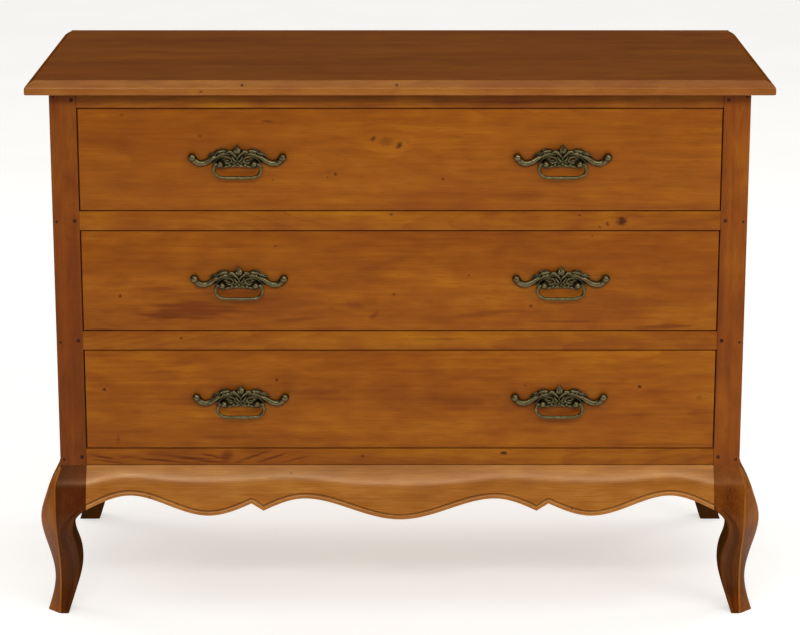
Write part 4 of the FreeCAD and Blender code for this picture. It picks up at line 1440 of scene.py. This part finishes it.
@dataclass
class Drawer:
    """One drawer: its front, its dovetailed box, and two pulls."""

    level: str
    front_wood: Material
    side_wood: Material
    back_wood: Material
    bottom_wood: Material
    brass: Material
    ease: float = 1.0
    shortest_arris: float = 60.0
    pin_half: float = 2.0

    def build(self, casting: Mesh, bail: Mesh) -> None:
        """Make the drawer's pieces.

        Args:
            casting: A pull's casting in its own frame.
            bail: A pull's bail in its own frame.
        """
        body = f"{self.level}_drawer"
        front = f"{body}_front"
        board = eased_copy(front, self.ease, self.shortest_arris)
        finish_piece(f"{front}_board", board, [self.front_wood], body, [front])
        finishes = {
            "left_side": self.side_wood,
            "right_side": self.side_wood,
            "back": self.back_wood,
            "bottom": self.bottom_wood,
            "pull_posts": self.brass,
        }
        for part, finish in finishes.items():
            dress_node(f"{body}_{part}", finish)
        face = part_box(front)[0].y
        plates = bmesh.new()
        for side in SIDES:
            node = f"{self.level}_{side}_bail"
            low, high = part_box(node)
            here = Matrix.Translation(((low.x + high.x) / 2, face, high.z - self.pin_half * MM))
            hung = bail.copy()
            hung.transform(here)
            handle = f"{self.level}_{side}_handle"
            finish_piece(f"{node}_bar", hung, [self.brass], handle, [node])
            cast = casting.copy()
            cast.transform(here)
            plates.from_mesh(cast)
        name = f"{body}_castings"
        mesh = bpy.data.meshes.new(name)
        plates.to_mesh(mesh)
        plates.free()
        finish_piece(name, shaded(mesh), [self.brass], body, [f"{body}_backplates"])


@dataclass(frozen=True)
class Softbox:
    """One softbox that faces the chest, by its place and its size in metres and its power in watts."""

    name: str
    place: Place
    size: Spot
    power: float

    AIM = (0.0, 0.0, 0.45)

    def hang(self) -> None:
        """Hang the softbox."""
        light = bpy.data.lights.new(self.name, "AREA")
        light.shape = "RECTANGLE"
        light.size, light.size_y = self.size
        light.energy = self.power
        box = add_object(self.name, light)
        box.location = self.place
        aim = Vector(self.AIM) - Vector(self.place)
        box.rotation_euler = aim.to_track_quat("-Z", "Y").to_euler()


@dataclass
class Studio:
    """A white paper sweep under a soft ceiling of light, and the camera where the photographer stood."""

    lens: float = 123.8
    camera_place: Place = (0.0, -4.225, 1.503)
    camera_dip: float = 14.54
    floor_half: float = 30.0
    white: str = "ffffff"
    ceiling: float = 1.0
    walls: float = 0.06
    wall_top: float = 0.5
    ceiling_foot: float = 0.9
    softboxes: tuple[Softbox, ...] = (
        Softbox("key_softbox", (3.0, -2.9, 2.2), (2.0, 2.0), 43.0),
        Softbox("strip_softbox", (0.2, -2.58, 2.11), (2.6, 0.4), 28.0),
        Softbox("glint_softbox", (-0.85, -2.58, 2.07), (0.3, 0.3), 6.0),
        Softbox("left_softbox", (-3.4, 1.6, 2.4), (1.8, 1.8), 26.0),
        Softbox("right_softbox", (3.4, 1.6, 2.4), (1.8, 1.8), 26.0),
    )

    def light_room(self) -> None:
        """Make the room: a bright ceiling and dim walls for the light, and plain white for the eye."""
        world = bpy.data.worlds.new("white_studio")
        world.use_nodes = True
        tree = world.node_tree
        facing = add_node(tree, "ShaderNodeTexCoord").outputs["Generated"]
        up = add_node(tree, "ShaderNodeSeparateXYZ", {0: facing}).outputs["Z"]
        rise = {0: up, 1: self.wall_top, 2: self.ceiling_foot, 3: self.walls, 4: self.ceiling}
        glow = add_node(tree, RANGE, rise, interpolation_type="SMOOTHSTEP")
        room = tree.nodes["Background"]
        feed(room, {"Color": linear(self.white), "Strength": glow})
        plain = add_node(tree, "ShaderNodeBackground", {"Color": linear(self.white), "Strength": 1.0})
        seen = add_node(tree, "ShaderNodeLightPath").outputs["Is Camera Ray"]
        both = add_node(tree, "ShaderNodeMixShader", {0: seen, 1: room, 2: plain})
        feed(tree.nodes["World Output"], {"Surface": both})
        bpy.context.scene.world = world

    def build(self, paper: Material) -> None:
        """Set up the floor, the lights and the camera.

        Args:
            paper: Finish of the floor.
        """
        scene = bpy.context.scene
        scene.view_settings.view_transform = "Standard"
        half = self.floor_half
        corners = [(-half, -half, 0), (half, -half, 0), (half, half, 0), (-half, half, 0)]
        sheet = bpy.data.meshes.new("paper_floor")
        sheet.from_pydata(corners, [], [(0, 1, 2, 3)])
        sheet.materials.append(paper)
        floor = add_object("paper_floor", sheet)
        self.light_room()
        for softbox in self.softboxes:
            softbox.hang()
        lens = bpy.data.cameras.new("photographer")
        lens.lens = self.lens
        camera = add_object("photographer", lens)
        camera.location = self.camera_place
        camera.rotation_euler = (math.radians(90 - self.camera_dip), 0.0, 0.0)
        scene.camera = camera


@dataclass
class Case:
    """The case: posts, rails, side panels and back, with what is hidden inside it."""

    ease: float = 0.9
    shortest_arris: float = 60.0
    nail_place: float = 512.0
    nail_heights: tuple[float, ...] = (240.0, 425.0, 611.0, 800.0)
    nail_size: float = 5.0
    # Reach in millimetres of the painted shade that the top's overhang casts on the posts and the top rail
    overhang_shade: float = 28.0
    rail_rings: float = 0.1

    POST_FLAME = Mark(FLAME, -487, 440, 24, 440, 0.7)
    PANEL_KNOTS = {
        "left": (
            Mark(KNOT, -90, 610, 12, 17, plane=Plane.SIDE),
            Mark(KNOT, 85, 395, 8, 11, 0.8, plane=Plane.SIDE),
        ),
        "right": (
            Mark(KNOT, -30, 610, 12, 17, plane=Plane.SIDE),
            Mark(KNOT, 45, 395, 8, 11, 0.8, plane=Plane.SIDE),
        ),
    }
    # The left post's shades are darker than the right's: painted shade, as the light falls from the right
    POST_SHADES = {
        "left": ("4c230a", "773c0c", "8c4f0f"),
        "right": ("58290a", "83440d", "995810"),
    }
    RAIL_SHADES = ("6a330a", "8c4e0d", "a7680f")
    RAIL_MARKS = {
        "front_top_rail": (
            Mark(STREAK, -360, 796, 90, 6, 0.6),
            Mark(STREAK, 150, 792, 160, 5, 0.5),
        ),
        "upper_drawer_rail": (
            Mark(KNOT, 331, 612, 22, 19),
            Mark(KNOT, 315, 609, 9, 7, 0.7),
            Mark(KNOT, 299, 603, 6, 5, 0.8),
            Mark(KNOT, 268, 621, 5, 4, 0.8),
            Mark(KNOT, -13, 622, 7, 5, 0.8),
        ),
        "lower_drawer_rail": (
            Mark(KNOT, -330, 431, 7, 5, 0.8),
            Mark(STREAK, 60, 430, 150, 6, 0.5),
        ),
        "front_bottom_rail": (
            Mark(BLOTCH, -264, 244, 24, 40, 1.0, 24),
            Mark(STREAK, -450, 243, 60, 6, 1.3, 10),
            Mark(STREAK, -440, 236, 70, 5, 1.1, 7),
            Mark(STREAK, -371, 239, 130, 6, 1.3, 5),
            Mark(STREAK, -325, 243, 110, 6, 1.3, 5),
            Mark(STREAK, -300, 238, 110, 6, 1.3, 6),
            Mark(STREAK, -285, 245, 60, 6, 1.2, 13),
            Mark(STREAK, -226, 244, 80, 7, 1.3, -20),
            Mark(STREAK, -194, 243, 70, 6, 1.2, -18),
            Mark(STREAK, -160, 240, 60, 5, 1.0, -14),
            Mark(KNOT, 158, 250, 15, 9),
            Mark(KNOT, -57, 245, 9, 5, 0.8),
        ),
    }

    def board(self, node: str, wood: Wood) -> None:
        """Make one finished board of the case with eased arrises.

        Args:
            node: The board's node.
            wood: Its wood.
        """
        mesh = eased_copy(node, self.ease, self.shortest_arris)
        finish_piece(f"{node}_board", mesh, [wood.material()], "carcass", [node])

    def build_posts(self) -> None:
        """Make the four posts, with nail holes in the front ones."""
        for number, (end, side) in enumerate(CORNERS):
            marks = []
            if end == "front":
                across = SIDES[side] * self.nail_place
                size = self.nail_size
                marks = [Mark(NAIL, across, height, size, size) for height in self.nail_heights]
            if (end, side) == ("front", "left"):
                marks.append(self.POST_FLAME)
            node = f"{end}_{side}_post"
            # Each post carries the painted shade under the top's overhang
            look = {"shades": self.POST_SHADES[side], "hollow": self.overhang_shade, "marks": tuple(marks)}
            self.board(node, Wood(f"mahogany_{node}", Grain.UPRIGHT, seed=1.3 + number, **look))

    def build_rails(self) -> None:
        """Make the front rails, with the shade of the top's overhang on the highest."""
        for number, (node, marks) in enumerate(self.RAIL_MARKS.items()):
            shade = self.overhang_shade if node == "front_top_rail" else 0.0
            look = {"shades": self.RAIL_SHADES, "rings": self.rail_rings, "hollow": shade, "marks": marks}
            self.board(node, Wood(f"mahogany_{node}", Grain.ACROSS, seed=6.2 + number, **look))

    def build_sides(self) -> None:
        """Make the framed side panels."""
        for number, side in enumerate(SIDES):
            for step, part in enumerate(("top_rail", "bottom_rail")):
                node = f"{side}_side_{part}"
                self.board(node, Wood(f"mahogany_{node}", Grain.DEEP, seed=11.4 + 2 * number + step))
            node = f"{side}_side_panel"
            knots = self.PANEL_KNOTS[side]
            self.board(node, Wood(f"mahogany_{node}", Grain.UPRIGHT, seed=16.7 + number, marks=knots))

    def dress_inside(self) -> None:
        """Dress the parts that the case hides."""
        plain = {"clouds": 0.0, "lacquer": 0.0}
        poplar = {"shades": ("8a6238", "b58d58", "cfae7c"), "roughness": 0.6, **plain}
        ply = {"shades": ("8b6136", "a87d4b", "c09a66"), "figure": 1.2, "roughness": 0.66, **plain}
        beech = {"shades": ("a87b4c", "c29a69", "d6b488"), **plain}
        dark_end = {"shades": ("240e04", "381808", "4c260f")}
        rails = ("rear_top_rail", "rear_bottom_rail", "base_rear_rail", "drawer_stops", "glue_blocks")
        runners = ("drawer_runners", "drawer_guides")
        woods = (
            (Wood("planed_poplar", Grain.ACROSS, seed=21.3, **poplar), rails),
            (Wood("planed_poplar_runner", Grain.DEEP, seed=22.8, **poplar), runners),
            (Wood("sanded_plywood", Grain.UPRIGHT, seed=24.1, **ply), ("back_panel",)),
            (Wood("peg_end_grain", Grain.DEEP, seed=25.9, **dark_end), ("tenon_pegs",)),
            (Wood("beech_dowel", Grain.UPRIGHT, seed=26.4, **beech), ("leg_dowels",)),
            (ZINC_STEEL, ("case_screws",)),
        )
        for finish, nodes in woods:
            material = finish.material()
            for node in nodes:
                dress_node(node, material)

    def build(self) -> None:
        """Make the case's boards and dress its inner parts."""
        self.build_posts()
        self.build_rails()
        self.build_sides()
        self.dress_inside()


@dataclass
class Base:
    """The base under the case: four cabriole legs and three scalloped aprons.

    Each apron's lower edge is given by the points of its right half, and its lifts by how far its swell rises
    along that half, both from the leg to the middle.
    """

    throat: float = 168.0
    end_peak: Spot = (414.0, 188.0)
    trough: Spot = (290.0, 159.0)
    notch: Spot = (226.0, 177.0)
    tip: Spot = (208.0, 166.0)
    peak: Spot = (158.0, 183.0)
    middle: Spot = (0.0, 154.0)
    side_peak: Spot = (118.0, 186.0)
    side_middle: Spot = (0.0, 157.0)
    front_lifts: tuple[Spot, ...] = (
        (478.0, 0.0), (425.0, 9.5), (350.0, 6.0), (226.0, 6.5), (158.0, 9.0), (60.0, 1.0), (0.0, 0.0)
    )
    side_lifts: tuple[Spot, ...] = ((178.0, 0.0), (118.0, 9.0), (40.0, 1.0), (0.0, 0.0))
    # Reach in millimetres of the painted shade in the aprons' groove and along their bead
    hollow: float = 4.0

    GLOSS = {"lacquer": 0.0, "sheen": 0.22, "roughness": 0.27, "gleam": "ffca90"}
    APRON_GLOSS = {**GLOSS, "sheen": 0.6, "gleam": "ffdeb2"}
    DRY = {"lacquer": 0.0, "sheen": 0.0}
    APRON_SHADES = ("80460f", "a0611f", "ba7f35")
    # Darker than the front apron: painted shade on the sides of the legs and on the side aprons, which face
    # away from the light
    SIDE_SHADES = ("562909", "79410d", "935616")
    # The left leg's front is darker than the right's: painted shade, as the light falls from the right
    LEG_SHADES = {
        "left": ("2a1005", "48210b", "602f0f"),
        "right": ("4a2006", "70390c", "884c12"),
    }
    # Lighter than the fronts: painted light on the canted corners, which are lit from the sides, the left
    # more than the right
    CANT_SHADES = {
        "left": ("662f09", "8a480e", "a06014"),
        "right": ("562808", "79400c", "905412"),
    }
    # Painted highlight: a thin lighter line along the arris between front and cant
    ARRIS_SHADES = ("7c4210", "94581f", "aa6e32")
    # Painted shade in the cove beside the bead, the left darker than the right
    COVE_SHADES = {
        "left": ("240d04", "3c1a08", "50260c"),
        "right": ("3a1804", "5a2b09", "6e3b0f"),
    }
    # Painted shade: near-black for the legs' inner sides and the aprons' down-facing faces
    INSIDE_SHADES = ("2a180b", "42270f", "573818")
    # Painted shade over each leg's shin and foot, darker towards the bottom
    LEG_MARKS = {
        "left": (Mark(PAINTED_SHADE, -515, 70, 120, 200, 0.8),),
        "right": (Mark(PAINTED_SHADE, 515, 70, 120, 220),),
    }
    APRON_MARKS = (
        Mark(KNOT, -381, 187, 5, 4, 0.8),
        Mark(KNOT, -166, 221, 5, 4, 0.8),
        Mark(KNOT, 262, 170, 5, 4, 0.8),
    )

    def leg_woods(self, inside: Material) -> dict[tuple[str, str], list[Material]]:
        """Make each leg's finishes.

        Args:
            inside: Finish of the legs' inner sides.

        Returns:
            The finishes in the order of the faces' numbers, by the leg's end and side.
        """
        woods = {}
        for number, (end, side) in enumerate(CORNERS):
            marked = {"marks": self.LEG_MARKS[side], **self.GLOSS}
            looks = (
                ("leg", 31.5, self.LEG_SHADES[side], marked),
                ("leg_cant", 35.5, self.CANT_SHADES[side], marked),
                ("leg_side", 39.5, self.SIDE_SHADES, self.DRY),
                ("leg_arris", 43.5, self.ARRIS_SHADES, self.GLOSS),
                ("leg_cove", 31.5, self.COVE_SHADES[side], marked),
            )
            made = []
            for part, seed, shades, look in looks:
                name = f"mahogany_{end}_{side}_{part}"
                made.append(Wood(name, Grain.UPRIGHT, seed + number, shades, **look).material())
            made.insert(LegFace.INSIDE, inside)
            woods[end, side] = made
        return woods

    def build(self) -> None:
        """Make the legs and the aprons."""
        post_low, post_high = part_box("front_right_post")
        half_width = post_high.x / MM
        half_depth = -post_low.y / MM
        post = (post_high.x - post_low.x) / MM
        swell = Swell()
        look = {"shades": self.INSIDE_SHADES, **self.DRY}
        inside = Wood("mahogany_leg_inside_painted_shade", Grain.UPRIGHT, seed=30.5, **look).material()
        legs = CabrioleLegs(swell, half_width, half_depth, throat=self.throat)
        legs.build(self.leg_woods(inside))
        front_runs = (
            ((half_width - post, self.throat), self.end_peak, self.trough, self.notch),
            (self.notch, self.tip),
            (self.tip, self.peak, self.middle),
        )
        side_runs = (((half_depth - post, self.throat), self.side_peak, self.side_middle),)
        look = {"shades": self.APRON_SHADES, "marks": self.APRON_MARKS, "hollow": self.hollow}
        wood = Wood("mahogany_front_apron", Grain.ACROSS, seed=48.2, **look, **self.APRON_GLOSS)
        place = (0.0, -half_depth)
        apron = ScallopedApron("front_apron", swell, front_runs, self.front_lifts, 180.0, place)
        apron.build(wood.material(), inside)
        look = {"shades": self.SIDE_SHADES, "hollow": self.hollow, **self.DRY}
        for side, sign in SIDES.items():
            wood = Wood(f"mahogany_{side}_apron", Grain.DEEP, seed=50.6 + sign, **look)
            place = (sign * half_width, 0.0)
            apron = ScallopedApron(f"{side}_apron", swell, side_runs, self.side_lifts, -90.0 * sign, place)
            apron.build(wood.material(), inside)


@dataclass
class DrawerStack:
    """The three drawers, each with its own board in front and its own knots, flames and streaks."""

    first_seed: float = 61.4

    FRONT_FIGURE = {
        "top": {"figure": 0.45, "mottle": 0.32, "clouds": 0.22},
        "middle": {"figure": 0.6, "mottle": 0.4, "clouds": 0.3},
        "bottom": {"figure": 0.6, "mottle": 0.42, "clouds": 0.28},
    }
    FRONT_MARKS = {
        "top": (
            Mark(KNOT, -20, 733, 34, 22, 0.4),
            Mark(KNOT, -10, 730, 10, 8, 0.9),
            Mark(KNOT, -30, 735, 9, 6, 0.7),
            Mark(STREAK, -195, 763, 30, 5, 1.0, 4),
            Mark(KNOT, -296, 741, 8, 7, 0.6),
            Mark(KNOT, -411, 772, 7, 5, 0.5),
            Mark(KNOT, -189, 675, 5, 4, 0.7),
            Mark(KNOT, -96, 683, 9, 7, 0.8),
            Mark(KNOT, -107, 679, 5, 4, 0.7),
            Mark(KNOT, 64, 676, 6, 5, 0.8),
            Mark(FLAME, 190, 648, 220, 16, 0.4),
        ),
        "middle": (
            Mark(FLAME, -358, 507, 64, 15, 0.6),
            Mark(FLAME, -316, 474, 190, 36, 1.1, -3),
            Mark(FLAME, -358, 467, 84, 12, 1.1),
            Mark(FLAME, -285, 492, 210, 44, 0.4),
            Mark(FLAME, -205, 480, 150, 36, 0.4, -6),
            Mark(FLAME, -168, 463, 100, 12, 0.7, -4),
            Mark(STREAK, -440, 447, 90, 8, 0.9),
            Mark(FLAME, -51, 532, 84, 38, 0.35, -12),
            Mark(BLOTCH, -87, 485, 44, 20, 0.65, 10),
            Mark(BLOTCH, -48, 467, 18, 22, 0.75, 40),
            Mark(FLAME, 130, 470, 120, 13, 0.6, -6),
            Mark(FLAME, 385, 524, 150, 24, 0.35),
            Mark(FLAME, 330, 486, 190, 44, 0.4),
            Mark(FLAME, 388, 450, 130, 12, 0.9, -3),
            Mark(STREAK, 250, 459, 130, 6, 0.7),
            Mark(KNOT, -405, 496, 7, 6, 0.9),
            Mark(KNOT, -186, 574, 8, 4, 0.8, -15),
            Mark(KNOT, -18, 500, 8, 5, 0.8, -15),
            Mark(KNOT, 104, 529, 6, 4, 0.8),
            Mark(KNOT, 201, 481, 7, 6, 0.8),
            Mark(KNOT, 287, 589, 5, 4, 0.8),
        ),
        "bottom": (
            Mark(KNOT, -448, 351, 9, 7),
            Mark(KNOT, -187, 366, 8, 6, 0.9),
            Mark(KNOT, 363, 355, 9, 7),
            Mark(KNOT, 190, 357, 5, 5, 0.9),
            Mark(KNOT, 454, 338, 14, 11, 0.35),
            Mark(STREAK, -429, 272, 8, 26, 0.6),
            Mark(FLAME, -256, 276, 230, 12, 0.5),
            Mark(FLAME, 400, 264, 170, 11, 0.5),
        ),
    }

    def build(self) -> None:
        """Make the drawers with their pulls."""
        brass = AntiqueBrass().material()
        work = ScrollWork()
        pull = Pull()
        casting = pull.casting(work, brass)
        bail = pull.bail_mesh(work, brass)
        plain = {"clouds": 0.0, "lacquer": 0.0, "roughness": 0.6}
        poplar = {"shades": ("8f683c", "b9925e", "d3b483"), **plain}
        ply = {"shades": ("8b6136", "ad8350", "c5a06c"), "figure": 1.1, **plain}
        box = (
            Wood("planed_poplar_drawer_side", Grain.DEEP, seed=51.3, **poplar).material(),
            Wood("planed_poplar_drawer_back", Grain.ACROSS, seed=54.6, **poplar).material(),
            Wood("sanded_plywood_bottom", Grain.ACROSS, seed=52.7, **ply).material(),
        )
        for number, (level, marks) in enumerate(self.FRONT_MARKS.items()):
            look = {"marks": marks, **self.FRONT_FIGURE[level]}
            wood = Wood(f"mahogany_{level}_drawer_front", Grain.ACROSS, seed=self.first_seed + number, **look)
            Drawer(level, wood.material(), *box, brass).build(casting, bail)


def main() -> None:
    """Build the chest piece by piece, then the studio."""
    logging.basicConfig(level=logging.INFO, format="%(name)s: %(message)s")
    Case().build()
    MouldedTop().build()
    Base().build()
    DrawerStack().build()
    Studio().build(PAPER.material())


if __name__ == "__main__":
    main()
